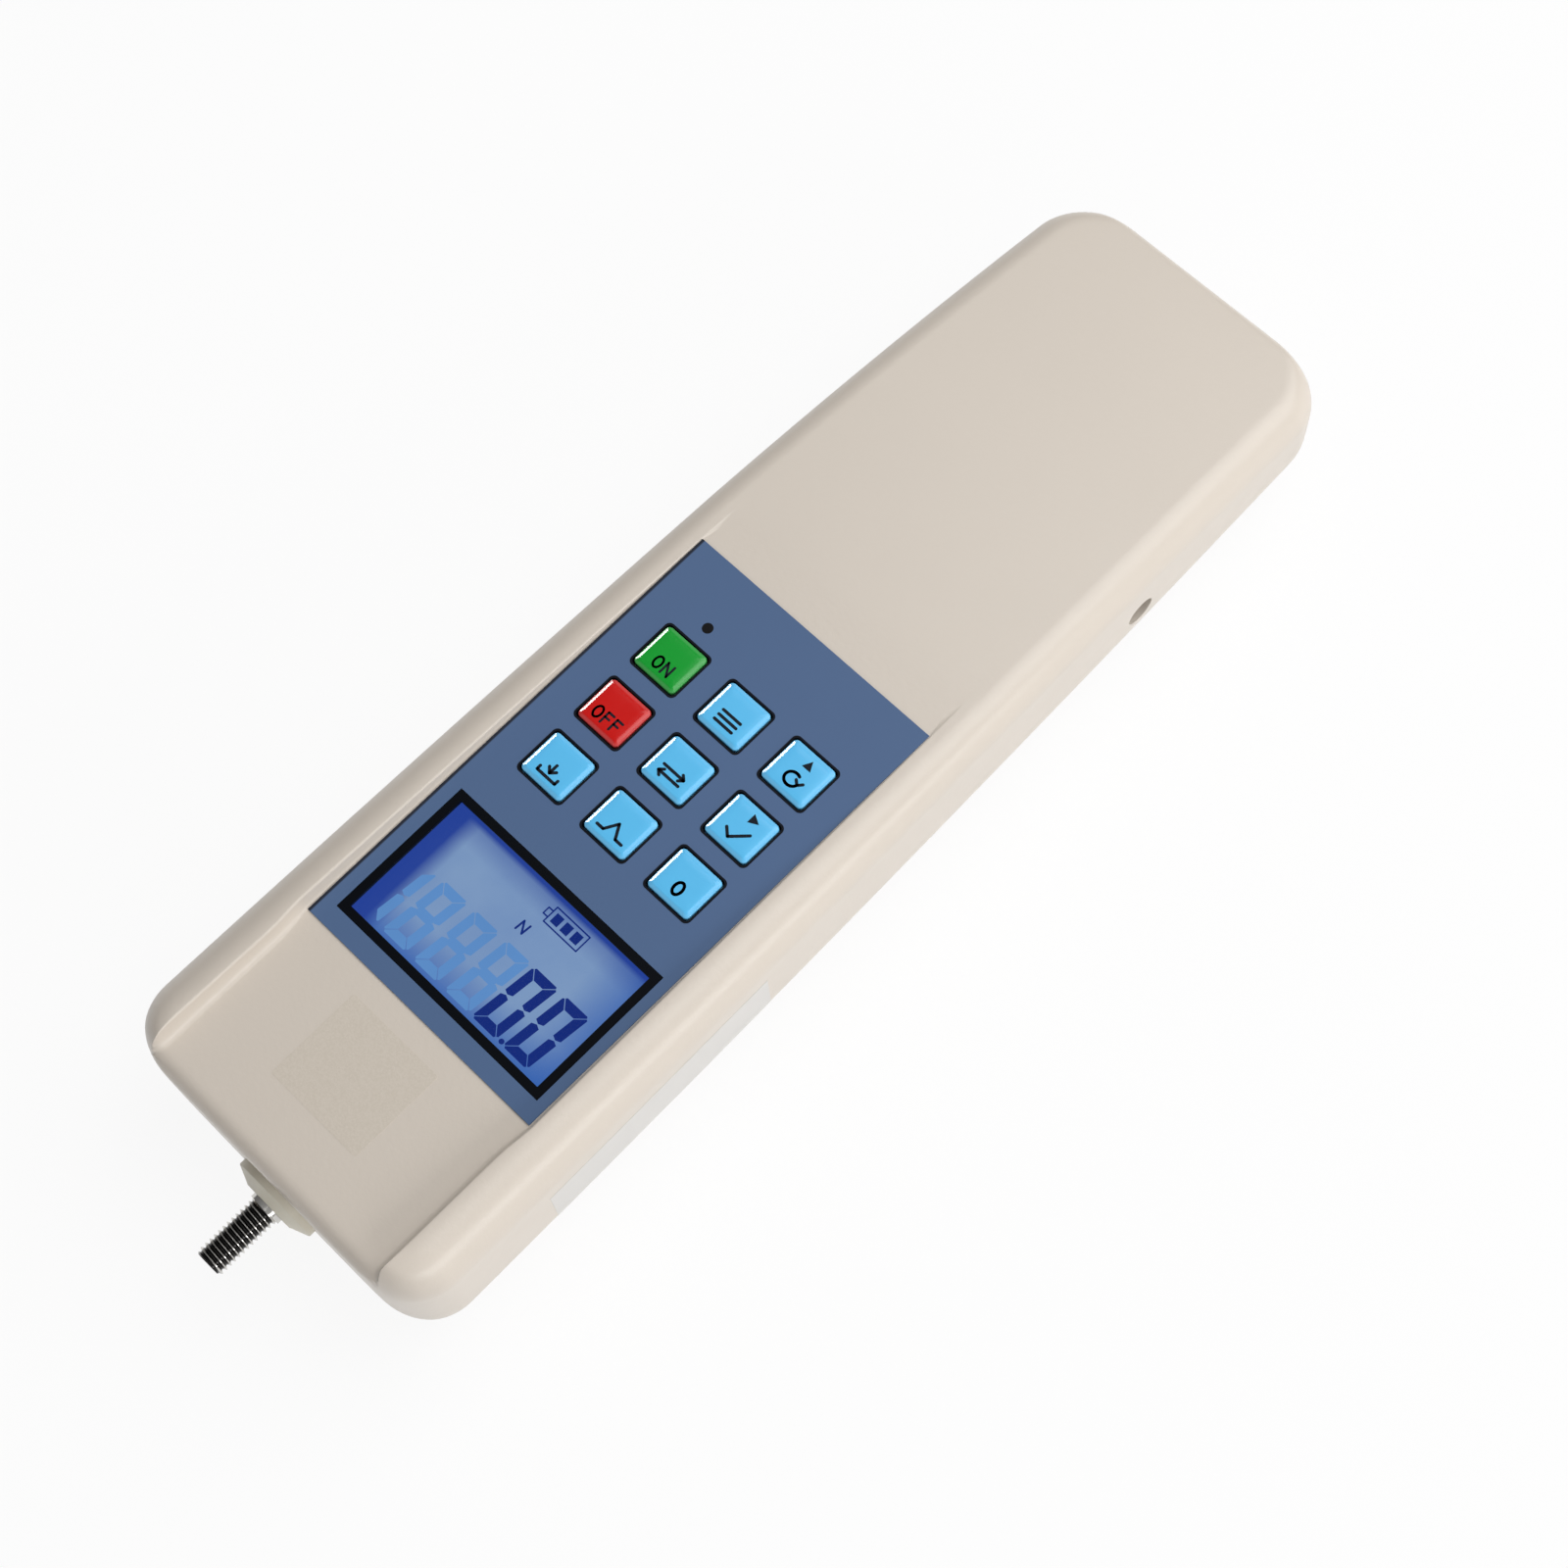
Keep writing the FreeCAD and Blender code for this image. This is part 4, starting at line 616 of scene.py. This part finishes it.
def cylinder(name, radius, start, end, sides=64):
    """A closed cylinder between two points in metres."""
    turn = (end - start).to_track_quat("Z", "Y").to_matrix()
    verts = []
    for middle in (start, end):
        for i in range(sides):
            a = 2 * math.pi * i / sides
            verts.append(middle + turn @ Vector((radius * MM * math.cos(a), radius * MM * math.sin(a), 0)))
    faces = [list(range(sides)), list(range(sides, 2 * sides))]
    faces += [[i, (i + 1) % sides, sides + (i + 1) % sides, sides + i] for i in range(sides)]
    return mesh_object(name, verts, faces)


def rounded_outline(width, length, radius, steps=8):
    """Points of a rectangle with rounded corners, centred on the origin, in millimetres."""
    points = []
    for quarter, (sx, sy) in enumerate(((1, 1), (-1, 1), (-1, -1), (1, -1))):
        for i in range(steps + 1):
            a = math.pi / 2 * (quarter + i / steps)
            cx, cy = sx * (width / 2 - radius), sy * (length / 2 - radius)
            points.append((cx + radius * math.cos(a), cy + radius * math.sin(a)))
    return points


def stacked(name, levels):
    """A closed piece through outlines at rising heights."""
    size = len(levels[0][0])
    verts = [place(x, y, z) for outline, z in levels for x, y in outline]
    faces = [list(range(size)), list(range((len(levels) - 1) * size, len(levels) * size))]
    for row in range(len(levels) - 1):
        for i in range(size):
            j = (i + 1) % size
            faces.append([row * size + i, row * size + j, (row + 1) * size + j, (row + 1) * size + i])
    return mesh_object(name, verts, faces)


def moved(outline, x, y):
    """The outline at another place."""
    return [(x + u, y + v) for u, v in outline]


def slab(name, outline, x, y, z0, z1):
    """A closed prism over an outline in millimetres."""
    return stacked(name, [(moved(outline, x, y), z0), (moved(outline, x, y), z1)])


def combine(target, tools, operation):
    """Adds or takes away tool meshes, which are then removed."""
    for tool in tools:
        step = target.modifiers.new("step", "BOOLEAN")
        step.operation = operation
        step.solver = "MANIFOLD"
        step.object = tool
    bpy.context.view_layer.update()
    done = target.evaluated_get(bpy.context.evaluated_depsgraph_get())
    mesh = bpy.data.meshes.new_from_object(done)
    target.modifiers.clear()
    target.data = mesh
    for tool in tools:
        bpy.data.objects.remove(tool)


def finished(obj, look, body, replaces=(), angle=32.0):
    """Smooth shading with sharp edges, a material, a body and the nodes it stands for."""
    obj.data.shade_smooth()
    obj.data.set_sharp_from_angle(angle=math.radians(angle))
    obj.data.materials.clear()
    obj.data.materials.append(LOOKS[look].material)
    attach(obj, body)
    if replaces:
        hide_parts(*replaces)


def housing_skins():
    """The cover and the back housing as they look from outside."""
    under, over = 25.0, 40.0
    cover = shell_mesh("cover_skin", 1)
    cuts = [slab("cut_view", rounded_outline(*DISPLAY_VIEW, 0.2, 2), *DISPLAY, under, over)]
    cuts.append(slab("cut_seat", rounded_outline(*DISPLAY_SEAT, 0.2, 2), *DISPLAY, SEAT_FLOOR, over))
    opening = rounded_outline(*KEY_OPENING, KEY_CORNER)
    cuts += [slab("cut_key", opening, x, y, under, over) for x, y in KEYS.values()]
    cuts.append(cylinder("cut_lamp", LAMP_BORE, place(*LAMP_DOT, under), place(*LAMP_DOT, over), 32))
    combine(cover, cuts, "DIFFERENCE")
    finished(cover, "housing_plastic", "housing", ["front_cover"])

    back = shell_mesh("back_skin", 0)
    bosses, wells = [], []
    outside = -2.0

    def upright(name, radius, x, y, bottom, top, sides=64):
        return cylinder(name, radius, place(x, y, bottom), place(x, y, top), sides)

    for x, y in CLOSING_SCREWS:
        for side in (-1, 1):
            bosses.append(upright("boss", BOSS_RADIUS, side * x, y, BOSS_START, BOSS_TOP, 48))
            wells.append(upright("well", WELL_RADIUS, side * x, y, outside, WELL_TOP, 48))
    for x in (-STANDOFF_X, STANDOFF_X):
        for y in STANDOFF_ROWS:
            wells.append(upright("standoff_hole", STANDOFF_RADIUS, x, y, outside, STANDOFF_TOP))
    wells.append(cylinder("shaft_hole", SHAFT_BORE, place(0, -3, SHAFT_Z), place(0, 6, SHAFT_Z)))
    socket_ends = [place(x, SOCKET_Y, SOCKET_Z) for x in (29.0, 45.0)]
    wells.append(cylinder("charging_hole", SOCKET_RADIUS, *socket_ends))
    combine(back, bosses, "UNION")
    combine(back, wells, "DIFFERENCE")
    finished(back, "housing_plastic", "housing", ["back_housing"])


# Shaft and collar


def thread_radius(turn_share, y):
    """Radius of the thread's surface at a share of a turn and a place along the shaft."""
    depth = THREAD_CREST - THREAD_ROOT
    phase = (y - turn_share) % 1.0
    away = abs(phase - 0.5) * 2
    start, width = THREAD_FLANK
    radius = THREAD_ROOT + depth * min(1.0, max(0.0, (away - start) / width))
    tip = TIP_RADIUS + max(0.0, y - SHAFT_TIP)
    runout = max(0.0, (y - RUNOUT_START) / RUNOUT)
    return min(max(radius, THREAD_ROOT + depth * min(1.0, runout)), tip, THREAD_CREST)


def shaft_piece():
    """The measuring shaft with a real helical thread."""
    sides = 96
    knots = (0.07, 0.18, 0.28, 0.38, 0.46, 0.54, 0.62, 0.72, 0.82, 0.93)
    rows = [[(0.0, SHAFT_TIP)] * (sides + 1)]
    for base in [whole + knot for whole in range(-18, -3) for knot in knots]:
        row = []
        for i in range(sides + 1):
            y = min(THREAD_END, max(SHAFT_TIP, base + i / sides))
            row.append((thread_radius(i / sides, y), y))
        rows.append(row)
    ends = (
        (THREAD_CREST, THREAD_END), (NECK_RADIUS, THREAD_END), (NECK_RADIUS, SHOULDER_START),
        (SHOULDER_RADIUS, SHOULDER_START), (SHOULDER_RADIUS, SHOULDER_END), (THREAD_CREST, SHOULDER_END),
        (THREAD_CREST, SHAFT_END), (0.0, SHAFT_END),
    )
    rows += [[end] * (sides + 1) for end in ends]
    verts = []
    for row in rows:
        for i, (radius, y) in enumerate(row):
            a = 2 * math.pi * i / sides
            verts.append(place(radius * math.cos(a), y, SHAFT_Z + radius * math.sin(a)))
    faces = []
    for r in range(len(rows) - 1):
        for i in range(sides):
            low, high = r * (sides + 1) + i, (r + 1) * (sides + 1) + i
            faces.append([low, low + 1, high + 1, high])
    return mesh_object("shaft_skin", verts, faces)


def shaft_and_collar():
    """The threaded shaft and the tapered collar round it."""
    finished(shaft_piece(), "shaft_steel", "shaft", ["measuring_shaft"], 40.0)
    collar = lathe("collar_skin", [
        (3.7, 0.9), (3.7, -2.65), (3.85, -2.8), (5.05, -2.8), (5.2, -2.77), (5.33, -2.68),
        (8.42, -1.42), (8.54, -1.33), (8.6, -1.2), (8.6, 0.0), (5.45, 0.0), (5.45, 0.9),
    ])
    finished(collar, "collar_plastic", "housing", ["shaft_collar"])


# Keys


def key_piece(name, x, y):
    """A key with a rounded top edge over the flange that keeps it under the cover."""
    wide, long = KEY_SIZE
    flange = moved(rounded_outline(*KEY_FLANGE, KEY_CORNER), x, y)
    levels = [(flange, FLANGE_BOTTOM), (flange, FLANGE_TOP)]
    levels.append((moved(rounded_outline(wide, long, KEY_CORNER), x, y), FLANGE_TOP))
    bevel = ((0.0, 0.6), (0.02, 0.46), (0.06, 0.38), (0.14, 0.32), (0.7, 0.07), (0.8, 0.035), (0.9, 0.02))
    for inset, drop in bevel:
        outline = rounded_outline(wide - 2 * inset, long - 2 * inset, KEY_CORNER - inset * 0.5)
        levels.append((moved(outline, x, y), KEY_TOP - drop))
    levels.append((moved(rounded_outline(6.0, 5.2, 0.4), x, y), KEY_TOP))
    return stacked(name, levels)


def stroke_piece(name, strokes, x, y, z, width, filled=()):
    """Thin raised lines along points, and filled outlines, as one piece lying on a surface."""
    verts, faces = [], []
    sunk, raised = 0.08, 0.015

    def prism(outline):
        base = len(verts)
        size = len(outline)
        for level in (z - sunk, z + raised):
            verts.extend(place(x + u, y + v, level) for u, v in outline)
        faces.append([base + i for i in reversed(range(size))])
        faces.append([base + size + i for i in range(size)])
        for i in range(size):
            j = (i + 1) % size
            faces.append([base + i, base + j, base + size + j, base + size + i])

    for points in strokes:
        for (ax, ay), (bx, by) in zip(points, points[1:]):
            along = math.hypot(bx - ax, by - ay)
            if along < 1e-6:
                continue
            ux, uy = (bx - ax) / along * width / 2, (by - ay) / along * width / 2
            outline = []
            for end_x, end_y, start in ((ax, ay, 0.5), (bx, by, -0.5)):
                for i in range(9):
                    a = math.pi * (start + i / 8)
                    c, s = math.cos(a), math.sin(a)
                    outline.append((end_x + ux * c - uy * s, end_y + uy * c + ux * s))
            prism(outline)
    for points in filled:
        prism(points)
    obj = bpy.data.objects.new(name, bpy.data.meshes.new(name))
    obj.data.from_pydata([tuple(v) for v in verts], [], faces)
    bpy.context.scene.collection.objects.link(obj)
    return obj


def loop(cx, cy, rx, ry, start=0.0, stop=360.0, steps=24):
    """Points along an arc of an ellipse, angles in degrees."""
    out = []
    for i in range(steps + 1):
        a = math.radians(start + (stop - start) * i / steps)
        out.append((cx + rx * math.cos(a), cy + ry * math.sin(a)))
    return out


LETTER_HEIGHT = 2.3


def letter_o(cx, cy, w=1.55, h=LETTER_HEIGHT):
    """The stroke of an O or a zero."""
    return loop(cx, cy, w / 2, h / 2)


def letter_n(cx, cy, w=1.5, h=LETTER_HEIGHT):
    """The stroke of an N."""
    left, right, low, high = cx - w / 2, cx + w / 2, cy - h / 2, cy + h / 2
    return [(left, low), (left, high), (right, low), (right, high)]


def letter_f(cx, cy, w=1.3, h=LETTER_HEIGHT):
    """The two strokes of an F."""
    left = cx - w / 2
    upper = [(left, cy - h / 2), (left, cy + h / 2), (left + w, cy + h / 2)]
    return [upper, [(left, cy + 0.1), (left + w * 0.8, cy + 0.1)]]


def liner_piece(name, x, y):
    """The dark rim that lines a key's opening and stands a little over the panel: painted shade, a black
    lining that darkens the gap round the key and widens the dark outline beside it.
    """
    inner = moved(rounded_outline(*LINER_INNER, 0.85), x, y)
    wall = moved(rounded_outline(*LINER_WALL, 0.88), x, y)
    rim = moved(rounded_outline(*LINER_RIM, 1.1), x, y)
    rim_top, rim_low = PANEL_TOP + 0.05, PANEL_TOP - 0.02
    rings = (
        (inner, LINER_BOTTOM), (inner, rim_top), (rim, rim_top),
        (rim, rim_low), (wall, rim_low), (wall, LINER_BOTTOM),
    )
    verts = [place(u, v, z) for outline, z in rings for u, v in outline]
    size, faces = len(inner), []
    for row in range(len(rings)):
        after = (row + 1) % len(rings)
        for i in range(size):
            j = (i + 1) % size
            faces.append([row * size + i, row * size + j, after * size + j, after * size + i])
    return mesh_object(name, verts, faces)


def key_marks():
    """Plain marks on each key: strokes, and filled outlines."""
    low = -1.5
    word = low - 0.3
    foot, upper, lower = low - 1.2, low + 0.7, low - 0.7
    head_right = [(1.6, low + 1.4), (2.4, upper), (1.6, low)]
    head_left = [(-1.6, low), (-2.4, lower), (-1.6, low - 1.4)]
    head_down = [(-0.9, low + 0.45), (0, low - 0.45), (0.9, low + 0.45)]
    tray = [(-2.2, low - 0.5), (-2.2, low - 1.3), (2.2, low - 1.3), (2.2, low - 0.5)]
    return {
        "on": ([letter_o(-1.15, word), letter_n(1.15, word)], []),
        "off": ([letter_o(-2.15, word)] + letter_f(0.1, word) + letter_f(2.25, word), []),
        "zero": ([letter_o(0, low, 1.7, 2.5)], []),
        "peak": ([[(-3.0, foot), (-1.5, foot), (0, low + 1.3), (1.5, foot), (3.0, foot)]], []),
        "save": ([[(0, low + 1.4), (0, low - 0.4)], head_down, tray], []),
        "unit": ([[(-2.4, upper), (2.4, upper)], head_right, [(-2.4, lower), (2.4, lower)], head_left], []),
        "set": ([[(-2.1, z), (2.1, z)] for z in (low + 1.1, low, low - 1.1)], []),
        "check": (
            [[(-2.0, low - 0.1), (-0.6, low - 1.3), (2.2, low + 1.4)]],
            [[(0.0, 1.3), (1.9, 2.3), (0.0, 3.3)]],
        ),
        "rotate": (
            [loop(0, low, 1.5, 1.3, 60, 350), [(0.65, low + 0.4), (1.48, low - 0.3), (2.2, low + 0.5)]],
            [[(-0.5, 1.4), (1.5, 1.4), (0.5, 3.2)]],
        ),
    }


def keys():
    """The keys and their marks, which ride on the moving keys."""
    marks = key_marks()
    for name, (x, y) in KEYS.items():
        slot = slot_of["key_" + name]
        body = "button_" + name
        finished(key_piece("cap_" + name, x, y), slot, body, ["key_" + name], 50.0)
        # painted shade: a black lining in the gap round each key
        finished(liner_piece("liner_" + name, x, y), "gap_shade_black", "housing")
        strokes, filled = marks[name]
        width = 0.46 if name in ("on", "off") else 0.58
        finished(stroke_piece("mark_" + name, strokes, x, y, KEY_TOP, width, filled), "ink", body)


# Display


def segment_outlines(names, x, y, w=6.1, h=13.5, wide=1.85, slant=0.11):
    """Outlines of slanted display segments in a box with its near left corner at a place."""
    cut, gap, mid = 0.6, 0.1, h / 2
    top = [
        (cut / 2 + gap, h - cut / 2), (cut, h), (w - cut, h), (w - cut / 2 - gap, h - cut / 2),
        (w - wide - gap, h - wide), (wide + gap, h - wide),
    ]
    upper = [
        (w - cut / 2, h - cut / 2 - gap), (w, h - cut), (w, mid + 0.5), (w - wide / 2, mid + gap),
        (w - wide, mid + 0.5), (w - wide, h - wide - gap),
    ]
    bar = [
        (wide / 2 + gap, mid), (wide, mid + wide / 2), (w - wide, mid + wide / 2),
        (w - wide / 2 - gap, mid), (w - wide, mid - wide / 2), (wide, mid - wide / 2),
    ]

    def turned(points, across, along):
        return [(w - u if across else u, h - v if along else v) for u, v in points]

    shapes = {
        "a": top, "b": upper, "c": turned(upper, False, True), "d": turned(top, False, True),
        "e": turned(upper, True, True), "f": turned(upper, True, False), "g": bar,
    }
    return [[(x + u + v * slant, y + v) for u, v in shapes[name]] for name in names]


def display():
    """The lit display cell with its figures."""
    outline = rounded_outline(*GLASS_SIZE, 0.1, 1)
    face = slab("display_face", outline, *DISPLAY, GLASS_TOP - GLASS_THICKNESS, GLASS_TOP)
    finished(face, "display_lit", "housing", ["lcd_glass"])
    lit = [shape for left in LIT_DIGITS for shape in segment_outlines("abcdef", left, DIGIT_BASE)]
    lit.append(loop(12.1, 43.75, 0.55, 0.5, 0, 330, 11))
    ghost = segment_outlines("bc", UNLIT_ONE, DIGIT_BASE)
    for left in UNLIT_DIGITS:
        ghost += segment_outlines("abcdefg", left, DIGIT_BASE)
    battery = [
        [(1.6, 63.5), (9.7, 63.5), (9.7, 66.9), (1.6, 66.9), (1.6, 63.5)],
        [(1.6, 64.5), (0.5, 64.5), (0.5, 65.9), (1.6, 65.9)],
    ]
    bars = [[(u, 64.2), (u + 1.7, 64.2), (u + 1.7, 66.2), (u, 66.2)] for u in (2.4, 4.8, 7.2)]
    unit = [[(-1.0, 59.3), (-0.8, 61.3), (0.5, 59.3), (0.7, 61.3)]]
    for name, strokes, width, filled, look in (
        ("display_icons", battery, 0.28, bars, "display_ink"),
        ("display_unit", unit, 0.4, [], "display_ink"),
        ("display_figures", [], 0.4, lit, "display_ink"),
        ("display_unlit", [], 0.4, ghost, "display_ghost"),
    ):
        finished(stroke_piece(name, strokes, 0, 0, GLASS_TOP, width, filled), look, "housing")


# Films stuck on the housing


def films():
    """The plain clear patch on the near floor and the plain label on the right wall."""
    outline = rounded_outline(*PATCH_SIZE, 0.6, 4)
    patch = slab("near_film", outline, *PATCH_PLACE, FLOOR - 0.02, FLOOR + 0.03)
    finished(patch, "clear_film", "housing")
    wall_film("side_film", *LABEL_Y, *LABEL_Z)


def wall_film(name, y0, y1, z0, z1):
    """A thin film that follows the right wall between two places and two heights."""
    verts, faces = [], []
    count, rows = 40, 53
    over, sunk = 0.06, 0.04
    for y in np.linspace(y0, y1, rows):
        line = resampled(side_line(y, 0.0, CREST)[0], 900)
        wall = resampled([q for q in line if z0 <= q[1] <= z1 and q[0] > 20.0], count)
        step = np.gradient(wall, axis=0)
        normal = np.stack([step[:, 1], -step[:, 0]], axis=1)
        normal /= np.hypot(*normal.T)[:, None]
        ring = list(wall + normal * over) + list(wall - normal * sunk)[::-1]
        verts += [place(x, y, z) for x, z in ring]
    size = 2 * count
    for r in range(rows - 1):
        for i in range(size):
            j = (i + 1) % size
            faces.append([r * size + i, r * size + j, (r + 1) * size + j, (r + 1) * size + i])
    faces += [list(range(size)), list(range((rows - 1) * size, rows * size))]
    finished(mesh_object(name, verts, faces), "label_film", "housing")


housing_skins()
shaft_and_collar()
keys()
display()
films()


# Floor, world and lamps


def floor():
    """A plain pale floor that fades into the background."""
    bpy.ops.mesh.primitive_plane_add(size=6.0, location=(0, 0, -0.0005))
    made = bpy.context.object
    made.name = "studio_floor"
    look = Look("studio_floor", (0.9, 0.9, 0.9, 1.0), 0.9)
    white = look.node("ShaderNodeEmission")
    white.inputs["Strength"].default_value = 1.0
    path = look.node("ShaderNodeLightPath")
    seen = path.outputs["Is Camera Ray"]
    for ray in ("Is Glossy Ray", "Is Transmission Ray"):
        seen = look.arithmetic("MAXIMUM", seen, path.outputs[ray])
    mix = look.node("ShaderNodeMixShader")
    look.join(look.arithmetic("MULTIPLY", seen, 0.9), mix.inputs["Fac"])
    look.join(look.shader.outputs["BSDF"], mix.inputs[1])
    look.join(white.outputs["Emission"], mix.inputs[2])
    look.join(mix.outputs["Shader"], look.tree.nodes["Material Output"].inputs["Surface"])
    made.data.materials.append(look.material)


def lamp(name, location, aim, width, height, power):
    """A soft rectangular lamp that faces a point."""
    data = bpy.data.lights.new(name, "AREA")
    data.shape = "RECTANGLE"
    data.size = width
    data.size_y = height
    data.energy = power
    made = bpy.data.objects.new(name, data)
    bpy.context.scene.collection.objects.link(made)
    made.location = location
    direction = Vector(aim) - Vector(location)
    made.rotation_euler = direction.to_track_quat("-Z", "Y").to_euler()
    return made


def studio():
    """World light that is weaker from the left, two soft lamps, and a third that only glints on the keys."""
    world = bpy.data.worlds.new("studio_world")
    bpy.context.scene.world = world
    world.use_nodes = True
    tree = world.node_tree
    back = tree.nodes["Background"]
    path = tree.nodes.new("ShaderNodeLightPath")
    level = tree.nodes.new("ShaderNodeMapRange")
    level.inputs["To Max"].default_value = 1.0
    tree.links.new(path.outputs["Is Camera Ray"], level.inputs["Value"])
    around = tree.nodes.new("ShaderNodeTexCoord")
    apart = tree.nodes.new("ShaderNodeSeparateXYZ")
    tree.links.new(around.outputs["Generated"], apart.inputs[0])
    sideways = tree.nodes.new("ShaderNodeMapRange")
    for socket, value in (("From Min", -0.9), ("From Max", 0.9), ("To Min", 0.2), ("To Max", 0.45)):
        sideways.inputs[socket].default_value = value
    tree.links.new(apart.outputs["X"], sideways.inputs["Value"])
    tree.links.new(sideways.outputs["Result"], level.inputs["To Min"])
    tree.links.new(level.outputs["Result"], back.inputs["Strength"])
    back.inputs["Color"].default_value = (1.0, 1.0, 1.0, 1.0)
    lamp("right_lamp", (0.78, -0.06, 0.3), (0, 0.0, 0.02), width=0.9, height=0.22, power=2.3)
    lamp("far_lamp", (0.2, 0.55, 0.85), (0, 0.06, 0.02), width=1.0, height=1.0, power=7.4)
    glint = lamp("left_lamp", (-0.78, 0.18, 0.31), (0, 0.02, 0.03), width=0.5, height=0.2, power=12.0)
    lit = bpy.data.collections.new("glossy_keys")
    bpy.context.scene.collection.children.link(lit)
    for name in KEYS:
        lit.objects.link(bpy.data.objects["cap_" + name])
    glint.light_linking.receiver_collection = lit
    glint.visible_diffuse = False


floor()
studio()
